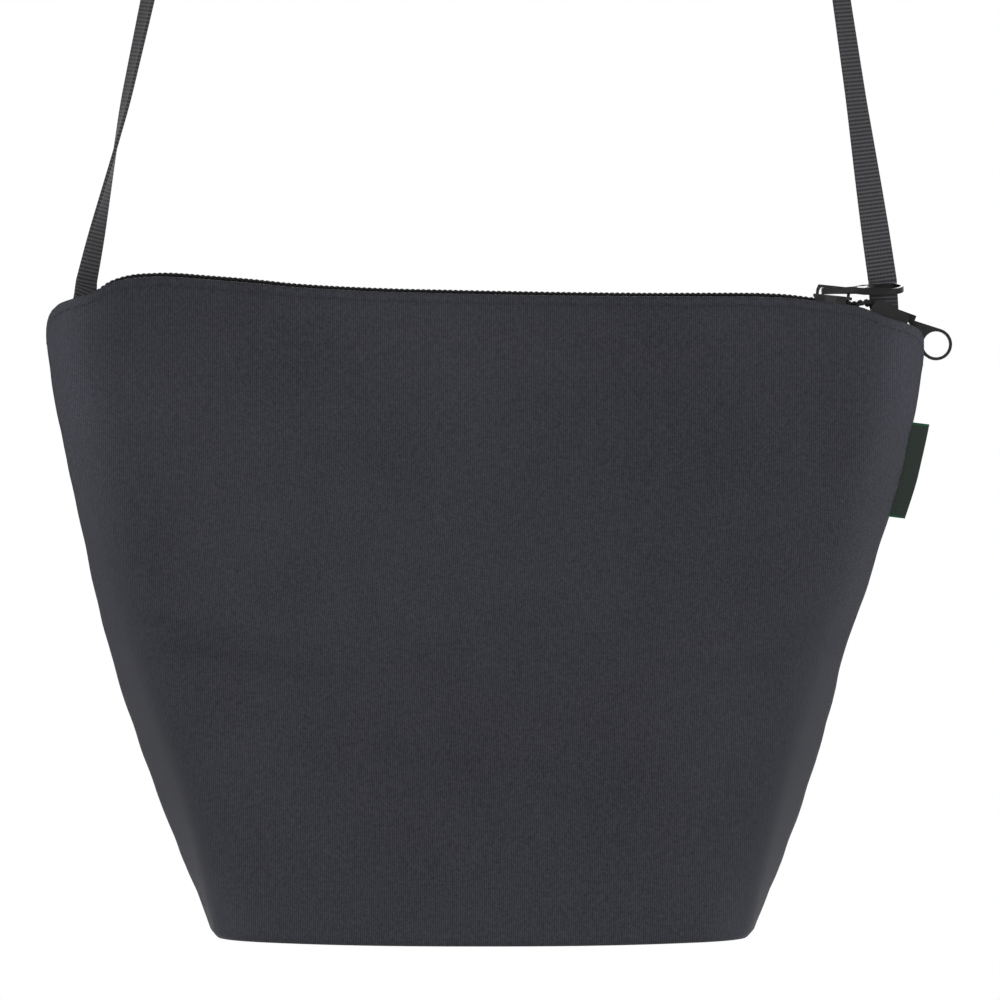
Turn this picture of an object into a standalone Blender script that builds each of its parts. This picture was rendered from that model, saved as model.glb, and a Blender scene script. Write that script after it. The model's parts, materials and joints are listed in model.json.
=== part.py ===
"""A small zip-top nylon shoulder bag, hanging by its webbing strap.

Metres, +Z up. The front faces -Y and +X is to the right as seen from the front.
Everything is worked out in the bag's own frame, whose zero is the middle of the base,
and hangs from one empty that puts the top of the strap at the scene's origin.
"""
import math

import bmesh
import bpy
from mathutils import Matrix, Vector

MM = 0.001
MERGE = 0.01 * MM           # points closer than this are one

# The bag
TOP_WIDTH = 293 * MM        # seam to seam at the top corners, laid flat
BASE_WIDTH = 178 * MM       # length of the base
BASE_DEPTH = 76 * MM        # depth of the base
BODY_HEIGHT = 223 * MM      # base to the highest point of the top edge
MOUTH_DEPTH = 13.6 * MM     # outside of front to outside of back along the zip
SWAY = 3 * MM               # how far the bag hangs to the left at its middle
SIDE_FOLD = 14 * MM         # how far the side seam stands out of the front fold
FOLD_SOFTNESS = 14 * MM     # size of the rounding along the front folds
BASE_ROUND = 4 * MM         # rounding between wall and base
FABRIC = 1.0 * MM           # thickness of the nylon with its hems
SEAM_GAP = 0.3 * MM         # between two pieces that touch on the real bag
BINDING_WIDTH = 6 * MM      # bound seam allowance inside
BINDING_THICK = 1.2 * MM
BINDING_IN_SHARE = 2.2      # of the fabric's thickness, from the seam to the binding
BINDING_STEPS = 10
CORNER_HEIGHT_SHARE = 0.907  # height of the top corners, as a share of BODY_HEIGHT

# By height, as a share of the corners' height: widening from base to top, sway, and how far
# the side folds stand open
WIDE_SHARES = (
    (0, 0), (0.0247, 0.021), (0.0692, 0.087), (0.135, 0.1826), (0.2012, 0.272), (0.267, 0.354),
    (0.3327, 0.4296), (0.399, 0.501), (0.4648, 0.563), (0.4979, 0.593), (0.5305, 0.633),
    (0.5636, 0.6696), (0.6294, 0.7287), (0.6956, 0.7896), (0.7614, 0.852), (0.7945, 0.8748),
    (0.8603, 0.9278), (0.8934, 0.9478), (0.926, 0.9687), (0.9592, 0.9826), (1, 1),
)
SWAY_SHARES = (
    (0, 0.43), (0.07, 0.33), (0.2, 0.45), (0.33, 0.67), (0.4, 0.83), (0.46, 1), (0.5, 1),
    (0.56, 0.67), (0.63, 0.5), (0.7, 0.22), (0.8, 0),
)
FOLD_SHARES = ((0, 0.14), (0.12, 0.62), (0.28, 1.0), (0.78, 0.86), (0.94, 0.5), (1.1, 0.36))
# Places along the zip: share of the half width, share of BODY_HEIGHT
ZIP_SHARES = (
    (-0.938, 0.953), (-0.911, 0.964), (-0.889, 0.9713), (-0.855, 0.9864), (-0.81, 0.9954),
    (-0.753, 0.9983), (-0.708, 0.9983), (-0.65, 0.9954), (-0.537, 0.9894), (-0.423, 0.9819),
    (-0.2526, 0.9759), (-0.082, 0.973), (0.1456, 0.97), (0.373, 0.9685), (0.6007, 0.9685),
    (0.68, 0.9665), (0.745, 0.9616), (0.79, 0.9585), (0.8328, 0.9555),
)
EDGE_BELOW_SHARE = 0.0036   # top edge of the cloth under the middle of the zip
FAR_LEFT_SHARES = (-0.753, 0.9983)      # where the left slider stops at the other end
# Top edge of the front and the back: share of the half width, share of BODY_HEIGHT
MIDDLE_TOP_SHARES = tuple((across, up - EDGE_BELOW_SHARE) for across, up in ZIP_SHARES[3:])
FRONT_TOP_SHARES = (
    (-1, 0.907), (-0.995, 0.93), (-0.985, 0.945), (-0.965, 0.955), (-0.93, 0.962), (-0.89, 0.9665),
) + MIDDLE_TOP_SHARES + (
    (0.878, 0.942), (0.896, 0.934), (0.953, 0.925), (0.982, 0.917), (0.994, 0.905), (1, 0.875),
)
BACK_TOP_SHARES = (
    (-1, 0.907), (-0.985, 0.925), (-0.965, 0.93), (-0.93, 0.935), (-0.89, 0.95),
) + MIDDLE_TOP_SHARES + (
    (0.878, 0.942), (0.896, 0.930), (0.93, 0.912), (0.95, 0.892), (0.968, 0.870), (0.9905, 0.866),
    (1, 0.875),
)
SIDE_STEPS = 3              # mesh steps from seam to fold, round the fold, along the front
FOLD_STEPS = 4
FRONT_SHARES = (1, 0.955, 0.895, 0.83, 0.74, 0.6, 0.45, 0.3, 0.15)
WALL_ROWS = 10
BASE_ROWS = 3

# The zip
TEETH_PITCH = 1.8 * MM
TEETH_THICK = 1.4 * MM
TOOTH_OVERLAP = 0.5 * MM    # how far a tooth reaches past the middle of the closed zip
TOOTH_REACH = 2.3 * MM      # outer side of the teeth from the middle
TOOTH_TIP = 0.44 * MM       # width at its tip
TOOTH_WIDTH = 1.1 * MM      # width at its outer side
CORE_START = 1.2 * MM       # where the core that carries the teeth starts
CORE_THICK = 0.5 * MM
SPREAD = 1.3 * MM           # how far each side moves out where the zip is open
TAPE_THICK = 0.35 * MM
TAPE_INNER = 1.0 * MM       # tape's inner edge from the middle of the closed zip
TAPE_DROP = 11 * MM         # how far the tape hangs inside the bag
TAPE_CLEAR = 0.25 * MM      # below the teeth
PANEL_CLEAR = 0.3 * MM      # tape to the inside of the bag
TAPE_HEM = 1.2              # thicknesses of tape at its edge, where it has no drop
TAPE_TAIL = 3.4 * MM        # half width of the tape where the zip runs out
ROLL_CLEAR = 0.6 * MM       # more room under the teeth where the zip rolls over
END_STEPS = 8               # steps at the right end, between two places, in the roll, along a tape
RUN_STEPS = 6
ROLL_STEPS = 12
TAPE_STEPS = 64
TAPER_STEPS = 4
TAPE_TAPER = 20 * MM        # length over which its drop ends before the left slider
RIGHT_SLIDER_SHARES = (0.91809, 0.93363)
RIGHT_TILT = math.radians(20)           # fall of the right end
RIGHT_TAIL = 2 * MM         # zip left past the right slider

# A slider, in its own frame: +X to its mouth, +Z through its top plate
SLIDER_LENGTH = 13 * MM
SLIDER_CLEAR = 0.3 * MM
PLATE_THICK = 0.9 * MM
FLANGE_THICK = 0.9 * MM
FLANGE_GAP = 0.3 * MM       # flange to tape
SPREAD_START_SHARE = -0.385  # of the half length, where the teeth start to part
SPREAD_END_SHARE = 0.185
POST_SHARES = ((0.2, 0), (0.4, 1), (0.7, 1), (0.86, 0))
POST_HALF = 0.5 * MM
BRIDGE_LENGTH = 11.4 * MM
BRIDGE_WIDTH = 1.8 * MM
BRIDGE_ROOM = 2.3 * MM      # height of the eye under the bridge
BRIDGE_THICK = 1.0 * MM
PIN_RADIUS = 0.6 * MM
PULL_THICK = 2.0 * MM
PULL_LENGTH = 26.9 * MM     # pin to the far side of the ring
RING_OUTER = 5.35 * MM
RING_HOLE = 4.35 * MM
EYE_LENGTH = 11.4 * MM      # from the pin to the web of the pull; it clears the bridge
EYE_HALF = 2.4 * MM
PULL_HEAD_HALF = 3.1 * MM
HEAD_SHARE = 0.7            # length of its straight head, as a share of EYE_LENGTH
NECK_SHARE = 0.4            # place of one more point between its head and its ring
TWIST_START = 8 * MM
TWIST_END = 13 * MM
LEFT_PIN_AHEAD = -3.3 * MM  # pin from the middle of its slider, towards the pull's ring
RIGHT_PIN_AHEAD = -3.3 * MM
EDGE_ROUND = 0.25 * MM
LEFT_SLIDER_BACK = 6.4 * MM  # middle of the left slider from the end of the straight run
RIGHT_PULL_FALL = math.radians(27.5)      # direction in which the right pull hangs
LEFT_PULL_RISE = math.radians(2)
LEFT_PULL_TWIST = math.radians(12)      # turn of its ring against its eye

# The strap
STRAP_WIDTH = 9.6 * MM
STRAP_THICK = 1.2 * MM
STRAP_FOOT = 16 * MM        # sewn length on the back of the bag
STRAP_SEAT = 0.6 * MM       # strap's foot to the measured depth of the bag
STRAP_BACK = 10.5 * MM      # how far behind the zip the strap rises
STRAP_LEFT_SHARES = (-0.91468, 0.98969)     # where each foot is measured, as for the zip
STRAP_RIGHT_SHARES = (0.90785, 0.98969)
STRAP_FOOT_SHARE = 0.945    # height where the sewn foot ends, as a share of BODY_HEIGHT
LEAN_LEFT_SHARE = 0.217     # sideways run for each unit of rise
LEAN_RIGHT_SHARE = 0.146
HOOK_RADIUS = 10 * MM
TWIST_HEIGHT = 93.3 * MM    # over which the measured twist is given
# Turn of the webbing over that height: height share, degrees from facing the front
LEFT_TWIST = ((-0.11, 0), (0, 48), (0.14, 58), (0.285, 74), (0.44, 90), (0.64, 108), (1, 118))
RIGHT_TWIST = ((0, 0), (0.285, 22), (0.46, 34), (0.64, 44), (1, 51))
STRAP_STEP = 14 * MM        # mesh steps, and how much longer they get towards the top
STEP_GROWTH = 1.15
FOOT_STEPS = 4
HOOK_STEPS = 16

# The side label
LABEL_LOW_SHARE = 0.6368    # height of its lower edge, as a share of BODY_HEIGHT
LABEL_HEIGHT = 31.5 * MM
LABEL_OUT = 5.6 * MM
LABEL_THICK = 0.9 * MM
LABEL_STEPS = 4


def clear_scene():
    for ob in list(bpy.data.objects):
        bpy.data.objects.remove(ob, do_unlink=True)


def collection(name):
    found = bpy.data.collections.new(name)
    bpy.context.scene.collection.children.link(found)
    return found


clear_scene()
PARTS = collection("shoulder_bag")
CUTTERS = collection("cutters")
FRAME = bpy.data.objects.new("bag_frame", None)
PARTS.objects.link(FRAME)


def finish_material(name, color, roughness, metallic):
    mat = bpy.data.materials.new(name)
    mat.use_nodes = True
    shader = mat.node_tree.nodes["Principled BSDF"]
    shader.inputs["Base Color"].default_value = (*color, 1)
    shader.inputs["Roughness"].default_value = roughness
    shader.inputs["Metallic"].default_value = metallic
    return mat


NYLON = ((0.036, 0.037, 0.045), 0.7, 0)
WEBBING = ((0.05, 0.044, 0.046), 0.75, 0)
TAPE = ((0.02, 0.02, 0.023), 0.8, 0)
COIL = ((0.012, 0.012, 0.013), 0.3, 0)
LACQUER = ((0.01, 0.01, 0.011), 0.28, 0.4)
LABEL = ((0.008, 0.014, 0.012), 0.6, 0)


def place(name, mesh, look, holder=None):
    """A new object with its own material, hanging from the bag's empty or from holder."""
    ob = bpy.data.objects.new(name, mesh)
    PARTS.objects.link(ob)
    ob.parent = holder or FRAME
    mesh.materials.clear()
    mesh.materials.append(finish_material(name + "_finish", *look))
    return ob


def mesh_from(name, points, faces):
    mesh = bpy.data.meshes.new(name)
    mesh.from_pydata([tuple(p) for p in points], [], faces)
    mesh.update()
    return mesh


def between(table, x):
    """Value of a table of pairs at x, in straight steps."""
    if x <= table[0][0]:
        return table[0][1]
    for (x0, y0), (x1, y1) in zip(table, table[1:]):
        if x <= x1:
            return y0 + (y1 - y0) * (x - x0) / (x1 - x0)
    return table[-1][1]


def smooth(t):
    t = min(max(t, 0), 1)
    return t * t * (3 - 2 * t)


def loft(name, rings):
    """A closed solid through rings of as many points each, capped at both ends."""
    count = len(rings[0])
    points = [p for ring in rings for p in ring]
    faces = [list(range(count))[::-1]]
    for r in range(len(rings) - 1):
        for k in range(count):
            a, b = r * count + k, r * count + (k + 1) % count
            faces.append((a, b, b + count, a + count))
    faces.append([(len(rings) - 1) * count + k for k in range(count)])
    mesh = mesh_from(name, points, faces)
    outward(mesh)
    return mesh


def outward(mesh):
    bm = bmesh.new()
    bm.from_mesh(mesh)
    bmesh.ops.recalc_face_normals(bm, faces=bm.faces)
    bm.to_mesh(mesh)
    bm.free()


def round_shading(mesh, degrees=35):
    mesh.shade_smooth()
    mesh.set_sharp_from_angle(angle=math.radians(degrees))


def plate(name, outline, low, high):
    """A flat outline in XY, standing from low to high."""
    curve = bpy.data.curves.new(name, "CURVE")
    curve.dimensions = "2D"
    curve.fill_mode = "BOTH"
    curve.extrude = (high - low) / 2
    for loop in outline:
        spline = curve.splines.new("POLY")
        spline.points.add(len(loop) - 1)
        for point, (x, y) in zip(spline.points, loop):
            point.co = (x, y, 0, 1)
        spline.use_cyclic_u = True
    source = bpy.data.objects.new(name, curve)
    CUTTERS.objects.link(source)
    bpy.context.view_layer.update()
    mesh = bpy.data.meshes.new_from_object(source.evaluated_get(bpy.context.evaluated_depsgraph_get()))
    bpy.data.objects.remove(source)
    bm = bmesh.new()
    bm.from_mesh(mesh)
    bmesh.ops.remove_doubles(bm, verts=bm.verts, dist=MERGE)
    bmesh.ops.translate(bm, verts=bm.verts, vec=(0, 0, (low + high) / 2))
    bmesh.ops.recalc_face_normals(bm, faces=bm.faces)
    bm.to_mesh(mesh)
    bm.free()
    return mesh


def helper(name, mesh):
    ob = bpy.data.objects.new(name, mesh)
    CUTTERS.objects.link(ob)
    ob.parent = FRAME
    ob.hide_render = True
    ob.display_type = "WIRE"
    return ob


def combine(ob, other, how):
    mod = ob.modifiers.new(other.name, "BOOLEAN")
    mod.operation = how
    mod.solver = "EXACT"
    mod.object = other
    return mod


def settle(ob):
    """Replaces an object's mesh by its evaluated one, so that later steps can build on it."""
    bpy.context.view_layer.update()
    done = ob.evaluated_get(bpy.context.evaluated_depsgraph_get())
    mesh = bpy.data.meshes.new_from_object(done)
    ob.modifiers.clear()
    ob.data = mesh
    return mesh


# The bag's shape

CORNER_HEIGHT = BODY_HEIGHT * CORNER_HEIGHT_SHARE


def place_at(shares):
    """A place in the bag's middle plane from its shares of the half width and the height."""
    return Vector((TOP_WIDTH / 2 * shares[0], 0, BODY_HEIGHT * shares[1]))


ZIP_PLACES = [place_at(shares) for shares in ZIP_SHARES]
ZIP_RIGHT = ZIP_PLACES[-1]


def half_width(z):
    return BASE_WIDTH / 2 + (TOP_WIDTH - BASE_WIDTH) / 2 * between(WIDE_SHARES, z / CORNER_HEIGHT)


def sway(mesh):
    """Moves what is sewn to the bag's sides and base as the hanging bag stands."""
    for vertex in mesh.vertices:
        vertex.co.x -= SWAY * between(SWAY_SHARES, vertex.co.z / CORNER_HEIGHT)


def half_depth(z):
    t = min(z / CORNER_HEIGHT, 1)
    return MOUTH_DEPTH / 2 + (BASE_DEPTH - MOUTH_DEPTH) / 2 * math.cos(math.pi / 2 * t ** 1.15) ** 2


def base_inset(z):
    if z >= BASE_ROUND:
        return 0
    return BASE_ROUND - math.sqrt(BASE_ROUND ** 2 - (BASE_ROUND - z) ** 2)


def quarter(z):
    """Points of the section at height z from the side seam to the middle of the front."""
    inset = base_inset(z)
    wide = half_width(min(z, CORNER_HEIGHT)) - inset
    deep = half_depth(z) - inset
    fold = wide - SIDE_FOLD * between(FOLD_SHARES, z / CORNER_HEIGHT)
    seam, corner = Vector((wide, 0)), Vector((fold, deep))
    soft = min(FOLD_SOFTNESS, (corner - seam).length * 0.6)
    start = corner + (seam - corner).normalized() * soft
    end = corner - Vector((soft, 0))
    points = [seam.lerp(start, k / SIDE_STEPS) for k in range(SIDE_STEPS)]
    for k in range(FOLD_STEPS):
        t = k / FOLD_STEPS
        points.append(start * (1 - t) ** 2 + corner * 2 * t * (1 - t) + end * t ** 2)
    points += [Vector((end.x * share, end.y)) for share in FRONT_SHARES]
    return points


def ring_layout():
    """Quarter index, side and face of each column round the bag, from the right seam."""
    count = SIDE_STEPS + FOLD_STEPS + len(FRONT_SHARES)
    layout = []
    for face, order in ((-1, 1), (-1, -1), (1, -1), (1, 1)):
        steps = range(count) if order * face < 0 else range(count - 1, -1, -1)
        for k in steps:
            layout.append((k, order, face))
        if order * face < 0:
            layout.append(("middle", 0, face))
    return layout


def column_point(column, z):
    k, side, face = column
    points = quarter(z)
    if k == "middle":
        return Vector((0, face * points[-1].y, z))
    return Vector((side * points[k].x, face * points[k].y, z))


def column_top(column):
    at = column_point(column, CORNER_HEIGHT).x / half_width(CORNER_HEIGHT)
    table = FRONT_TOP_SHARES if column[2] < 0 or column[0] == 0 else BACK_TOP_SHARES
    return between(table, at) * BODY_HEIGHT


def pouch_mesh(name):
    columns = []
    for column in ring_layout():
        if column[0] == 0 and column[2] > 0:
            continue
        columns.append(column)
    heights = [BASE_ROUND * (1 - math.cos(math.pi / 2 * k / BASE_ROWS)) for k in range(BASE_ROWS)]
    points = []
    for height in heights:
        points += [column_point(c, height) for c in columns]
    for row in range(WALL_ROWS + 1):
        t = row / WALL_ROWS
        for c in columns:
            points.append(column_point(c, BASE_ROUND + (column_top(c) - BASE_ROUND) * t))
    count = len(columns)
    faces = [list(range(count))]
    for r in range(len(heights) + WALL_ROWS):
        for k in range(count):
            a, b = r * count + k, r * count + (k + 1) % count
            faces.append((a, a + count, b + count, b))
    mesh = mesh_from(name, points, faces)
    outward(mesh)
    return mesh


def box_mesh(name, low, high):
    bm = bmesh.new()
    bmesh.ops.create_cube(bm, size=1)
    size = Vector(high) - Vector(low)
    bmesh.ops.scale(bm, vec=size, verts=bm.verts)
    bmesh.ops.translate(bm, vec=(Vector(low) + Vector(high)) / 2, verts=bm.verts)
    mesh = bpy.data.meshes.new(name)
    bm.to_mesh(mesh)
    bm.free()
    return mesh


def cut_half(mesh, face):
    """Keeps the front (-1) or back (1) of a shell and closes it along the seam."""
    bm = bmesh.new()
    bm.from_mesh(mesh)
    bmesh.ops.bisect_plane(
        bm, geom=bm.verts[:] + bm.edges[:] + bm.faces[:], dist=MERGE,
        plane_co=(0, face * SEAM_GAP / 2, 0), plane_no=(0, face, 0), clear_inner=True,
    )
    rim = [e for e in bm.edges if len(e.link_faces) == 1]
    bmesh.ops.triangle_fill(bm, edges=rim, use_beauty=True)
    bmesh.ops.recalc_face_normals(bm, faces=bm.faces)
    bm.to_mesh(mesh)
    bm.free()


def make_panels():
    """Front and back, each a shell with its half of the sides and of the base."""
    for name, face in (("front_panel", -1), ("back_panel", 1)):
        mesh = pouch_mesh(name)
        sway(mesh)
        ob = place(name, mesh, NYLON)
        shell = ob.modifiers.new("fabric", "SOLIDIFY")
        shell.thickness = FABRIC
        shell.offset = -1
        shell.use_even_offset = True
        settle(ob)
        cut_half(ob.data, face)
        round_shading(ob.data)


def make_bindings():
    """The bound seam allowances inside the two sides and the base."""
    low, high = BASE_ROUND * 2, CORNER_HEIGHT - TAPE_DROP
    steps = BINDING_STEPS
    inner = FABRIC * BINDING_IN_SHARE + SEAM_GAP
    for name, side in (("seam_binding_left", -1), ("seam_binding_right", 1)):
        heights = [low + (high - low) * k / steps for k in range(steps + 1)]
        outer_line = [(side * (half_width(z) - inner), z) for z in heights]
        inner_line = [(side * (half_width(z) - inner - BINDING_WIDTH), z) for z in reversed(heights)]
        mesh = plate(name, [outer_line + inner_line], -BINDING_THICK / 2, BINDING_THICK / 2)
        mesh.transform(Matrix.Rotation(math.pi / 2, 4, "X"))
        sway(mesh)
        place(name, mesh, WEBBING)
    reach = BASE_WIDTH / 2 - BASE_ROUND * 2
    floor = FABRIC + SEAM_GAP
    mesh = box_mesh(
        "seam_binding_base",
        (-reach, -BINDING_THICK / 2, floor),
        (reach, BINDING_THICK / 2, floor + BINDING_WIDTH - FABRIC - SEAM_GAP),
    )
    sway(mesh)
    place("seam_binding_base", mesh, WEBBING)


# The zip's line: place, direction, side and top, with how far the teeth stand apart

def zip_frame(at, ahead, roll=0):
    """Middle, direction, side towards the back, and top of the zip at a place on it."""
    direction = Vector(ahead).normalized()
    side = Vector((0, 1, 0))
    top = direction.cross(side)
    turn = Matrix.Rotation(roll, 3, direction)
    return Vector(at), direction, turn @ side, turn @ top


RUN_DIRECTION = (ZIP_RIGHT - ZIP_PLACES[-3]).normalized()
FALL_DIRECTION = Vector((math.cos(RIGHT_TILT), 0, -math.sin(RIGHT_TILT)))
LEFT_SLIDER_AT = ZIP_RIGHT - RUN_DIRECTION * LEFT_SLIDER_BACK
RIGHT_SLIDER_AT = place_at(RIGHT_SLIDER_SHARES)
RIGHT_END = RIGHT_SLIDER_AT + FALL_DIRECTION * (SLIDER_LENGTH / 2 + RIGHT_TAIL)
RIGHT_START = RIGHT_SLIDER_AT - FALL_DIRECTION * SLIDER_LENGTH / 2


def bezier(a, b, c, d, t):
    u = 1 - t
    return a * u ** 3 + b * 3 * u * u * t + c * 3 * u * t * t + d * t ** 3


def zip_line():
    """Fine points along the middle of the zip from left to right, with its roll."""
    line = []
    for i in range(len(ZIP_PLACES) - 1):
        near, far = ZIP_PLACES[i], ZIP_PLACES[i + 1]
        before = ZIP_PLACES[max(i - 1, 0)]
        after = ZIP_PLACES[min(i + 2, len(ZIP_PLACES) - 1)]
        reach = (far - near).length / 3
        leave, arrive = (far - before).normalized(), (after - near).normalized()
        for k in range(RUN_STEPS):
            at = bezier(near, near + leave * reach, far - arrive * reach, far, k / RUN_STEPS)
            line.append((at, 0))
    gap = (RIGHT_START - ZIP_RIGHT).length / 3
    before, after = ZIP_RIGHT + RUN_DIRECTION * gap, RIGHT_START - FALL_DIRECTION * gap
    for k in range(ROLL_STEPS):
        t = k / ROLL_STEPS
        line.append((bezier(ZIP_RIGHT, before, after, RIGHT_START, t), -math.pi / 2 * smooth(t)))
    line += [(RIGHT_START.lerp(RIGHT_END, k / END_STEPS), -math.pi / 2) for k in range(END_STEPS + 1)]
    return line


LINE = zip_line()
LENGTHS = [0]
for (p, _), (q, _) in zip(LINE, LINE[1:]):
    LENGTHS.append(LENGTHS[-1] + (q - p).length)
ZIP_LENGTH = LENGTHS[-1]


def zip_at(s):
    """The zip's frame at a distance s along it."""
    s = min(max(s, 0), ZIP_LENGTH)
    k = 0
    while k < len(LENGTHS) - 2 and LENGTHS[k + 1] < s:
        k += 1
    (p, roll_p), (q, roll_q) = LINE[k], LINE[k + 1]
    t = (s - LENGTHS[k]) / (LENGTHS[k + 1] - LENGTHS[k])
    return zip_frame(p.lerp(q, t), q - p, roll_p + (roll_q - roll_p) * t)


def nearest_s(point):
    best = min(range(len(LINE)), key=lambda k: (LINE[k][0] - point).length)
    return LENGTHS[best] + (point - LINE[best][0]).dot(zip_at(LENGTHS[best])[1])


LEFT_S = nearest_s(LEFT_SLIDER_AT)
RIGHT_S = nearest_s(RIGHT_SLIDER_AT)


def spread_at(s):
    """How far each side of the zip stands out: shut, parted between the sliders, shut."""
    half = SLIDER_LENGTH / 2
    start, full = SPREAD_START_SHARE * half, SPREAD_END_SHARE * half
    opening = (s - LEFT_S - start) / (full - start)
    closing = (RIGHT_S - start - s) / (full - start)
    return SPREAD * min(max(min(opening, closing), 0), 1)


def tooth_side(s, face, sign):
    """Corners of one side of a tooth: two at its tip, two where the core starts, three outside."""
    middle, ahead, side, top = zip_at(s)
    low, high = -TEETH_THICK / 2, TEETH_THICK / 2
    core = low + CORE_THICK
    places = (
        (-TOOTH_OVERLAP, low), (-TOOTH_OVERLAP, high), (CORE_START, low), (CORE_START, core),
        (TOOTH_REACH, low), (TOOTH_REACH, core), (TOOTH_REACH, high),
    )
    corners = []
    for out, level in places:
        taper = (out + TOOTH_OVERLAP) / (TOOTH_REACH + TOOTH_OVERLAP)
        half = (TOOTH_TIP + (TOOTH_WIDTH - TOOTH_TIP) * taper) / 2
        corners.append(middle + side * face * (out + spread_at(s)) + ahead * sign * half + top * level)
    return corners


def make_teeth():
    """The two rows of coil teeth, each on the core that runs between them."""
    count = int((ZIP_LENGTH - 2 * TEETH_PITCH) / TEETH_PITCH)
    core_loop = (2, 4, 5, 3)
    for name, face, offset in (("zip_teeth_front", -1, 0), ("zip_teeth_back", 1, TEETH_PITCH / 2)):
        points, faces = [], []
        for k in range(count):
            s = TEETH_PITCH * (k + 1) + offset
            a = len(points)
            points += tooth_side(s, face, -1) + tooth_side(s, face, 1)
            b = a + 7
            for first in (a, b):
                faces.append([first + i for i in (0, 2, 3, 5, 6, 1)])
            faces.append([a, b, b + 1, a + 1])
            faces.append([a + 1, b + 1, b + 6, a + 6])
            faces.append([a, a + 2, a + 4, b + 4, b + 2, b])
            faces.append([a + 5, a + 6, b + 6, b + 5])
            faces.append([a + 4, a + 5, b + 5, b + 4])
            if k == 0:
                faces.append([a + i for i in core_loop])
            if k == count - 1:
                faces.append([b + i for i in core_loop])
                continue
            following = b + 7
            for i in range(4):
                p, q = core_loop[i], core_loop[(i + 1) % 4]
                faces.append([b + p, b + q, following + q, following + p])
        teeth = mesh_from(name, points, faces)
        outward(teeth)
        place(name, teeth, COIL)


def make_tapes():
    """The two woven tapes: flat under the teeth, then folded down inside the bag."""
    wall_in = MOUTH_DEPTH / 2 - FABRIC - PANEL_CLEAR - TAPE_THICK
    roll_start = nearest_s(ZIP_RIGHT)
    roll_end = nearest_s(RIGHT_START)
    taper_start = LEFT_S - SLIDER_LENGTH / 2 - TAPE_TAPER
    for name, face in (("zip_tape_front", -1), ("zip_tape_back", 1)):
        rings = []
        stops = [ZIP_LENGTH * k / TAPE_STEPS for k in range(TAPE_STEPS + 1)]
        stops += [taper_start + TAPE_TAPER * k / TAPER_STEPS for k in range(TAPER_STEPS + 1)]
        stops += [roll_start + (roll_end - roll_start) * k / ROLL_STEPS for k in range(-1, ROLL_STEPS + 1)]
        for s in sorted(stops):
            middle, _, side, top = zip_at(s)
            out = wall_in + (TAPE_TAIL - wall_in) * smooth((s - roll_start) / (roll_end - roll_start))
            rolling = (s - roll_start) / (roll_end - roll_start)
            sag = ROLL_CLEAR * math.sin(math.pi * min(max(rolling, 0), 1))
            below = -TEETH_THICK / 2 - TAPE_CLEAR - sag
            ended = smooth((s - taper_start) / TAPE_TAPER)
            drop = TAPE_DROP + (TAPE_THICK * TAPE_HEM - TAPE_DROP) * ended
            corners = (
                (TAPE_INNER + spread_at(s), below), (out + TAPE_THICK, below),
                (out + TAPE_THICK, below - drop), (out, below - drop),
                (out, below - TAPE_THICK), (TAPE_INNER + spread_at(s), below - TAPE_THICK),
            )
            rings.append([middle + side * face * x + top * z for x, z in corners])
        place(name, loft(name, rings), TAPE)


# Sliders and pulls

TOP_PLATE = TEETH_THICK / 2 + TAPE_CLEAR
BOTTOM_PLATE = -TEETH_THICK / 2 - TAPE_CLEAR - TAPE_THICK - SLIDER_CLEAR
FLANGE_FOOT = -TEETH_THICK / 2 - TAPE_CLEAR + FLANGE_GAP
NARROW = TOOTH_REACH + SLIDER_CLEAR
WIDE = TOOTH_REACH + SPREAD + SLIDER_CLEAR
PIN_HEIGHT = TOP_PLATE + PLATE_THICK + BRIDGE_ROOM / 2


def mirrored(points):
    return points + [(x, -y) for x, y in reversed(points) if y]


def slider_outline(rim):
    """Shield outline of a plate that stands rim outside the channel."""
    half = SLIDER_LENGTH / 2
    start, full = SPREAD_START_SHARE * half, SPREAD_END_SHARE * half
    back, front = NARROW + rim, WIDE + rim
    return mirrored([
        (-half, back * 0.7), (-half * 0.93, back * 0.93), (-half * 0.8, back),
        (start, back), (full, front), (half * 0.66, front), (half * 0.86, front * 0.9),
        (half * 0.97, front * 0.66), (half, front * 0.35),
    ])


def make_slider_body(name, holder):
    half = SLIDER_LENGTH / 2
    start, full = SPREAD_START_SHARE * half, SPREAD_END_SHARE * half
    top = TOP_PLATE + PLATE_THICK
    body = place(name, plate(name, [slider_outline(FLANGE_THICK)], TOP_PLATE, top), LACQUER, holder)
    pieces = [plate("under", [slider_outline(FLANGE_THICK)], BOTTOM_PLATE - PLATE_THICK, BOTTOM_PLATE)]
    overlap = PLATE_THICK / 2
    for side in (-1, 1):
        inner = [(-half * 0.93, NARROW), (start, NARROW), (full, WIDE), (half * 0.7, WIDE)]
        outer = [(x, y + FLANGE_THICK * 0.96) for x, y in reversed(inner)]
        loop = [(x, side * y) for x, y in inner + outer]
        pieces.append(plate("flange", [loop], FLANGE_FOOT, TOP_PLATE + overlap))
    post = mirrored([(share * half, wide * POST_HALF) for share, wide in POST_SHARES])
    pieces.append(plate("post", [post], BOTTOM_PLATE - overlap, TOP_PLATE + overlap))
    reach, rise = BRIDGE_LENGTH / 2, BRIDGE_ROOM + BRIDGE_THICK
    arch = bridge_outline(reach, rise) + bridge_outline(reach - BRIDGE_THICK, BRIDGE_ROOM)[::-1]
    bridge = plate("bridge", [arch], -BRIDGE_WIDTH / 2, BRIDGE_WIDTH / 2)
    bridge.transform(Matrix.Translation((0, 0, top)) @ Matrix.Rotation(math.pi / 2, 4, "X"))
    pieces.append(bridge)
    for mesh in pieces:
        other = helper(name + "_" + mesh.name.split(".")[0], mesh)
        other.parent = holder
        combine(body, other, "UNION")
    settle(body)
    soften(body, EDGE_ROUND)
    return body


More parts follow.
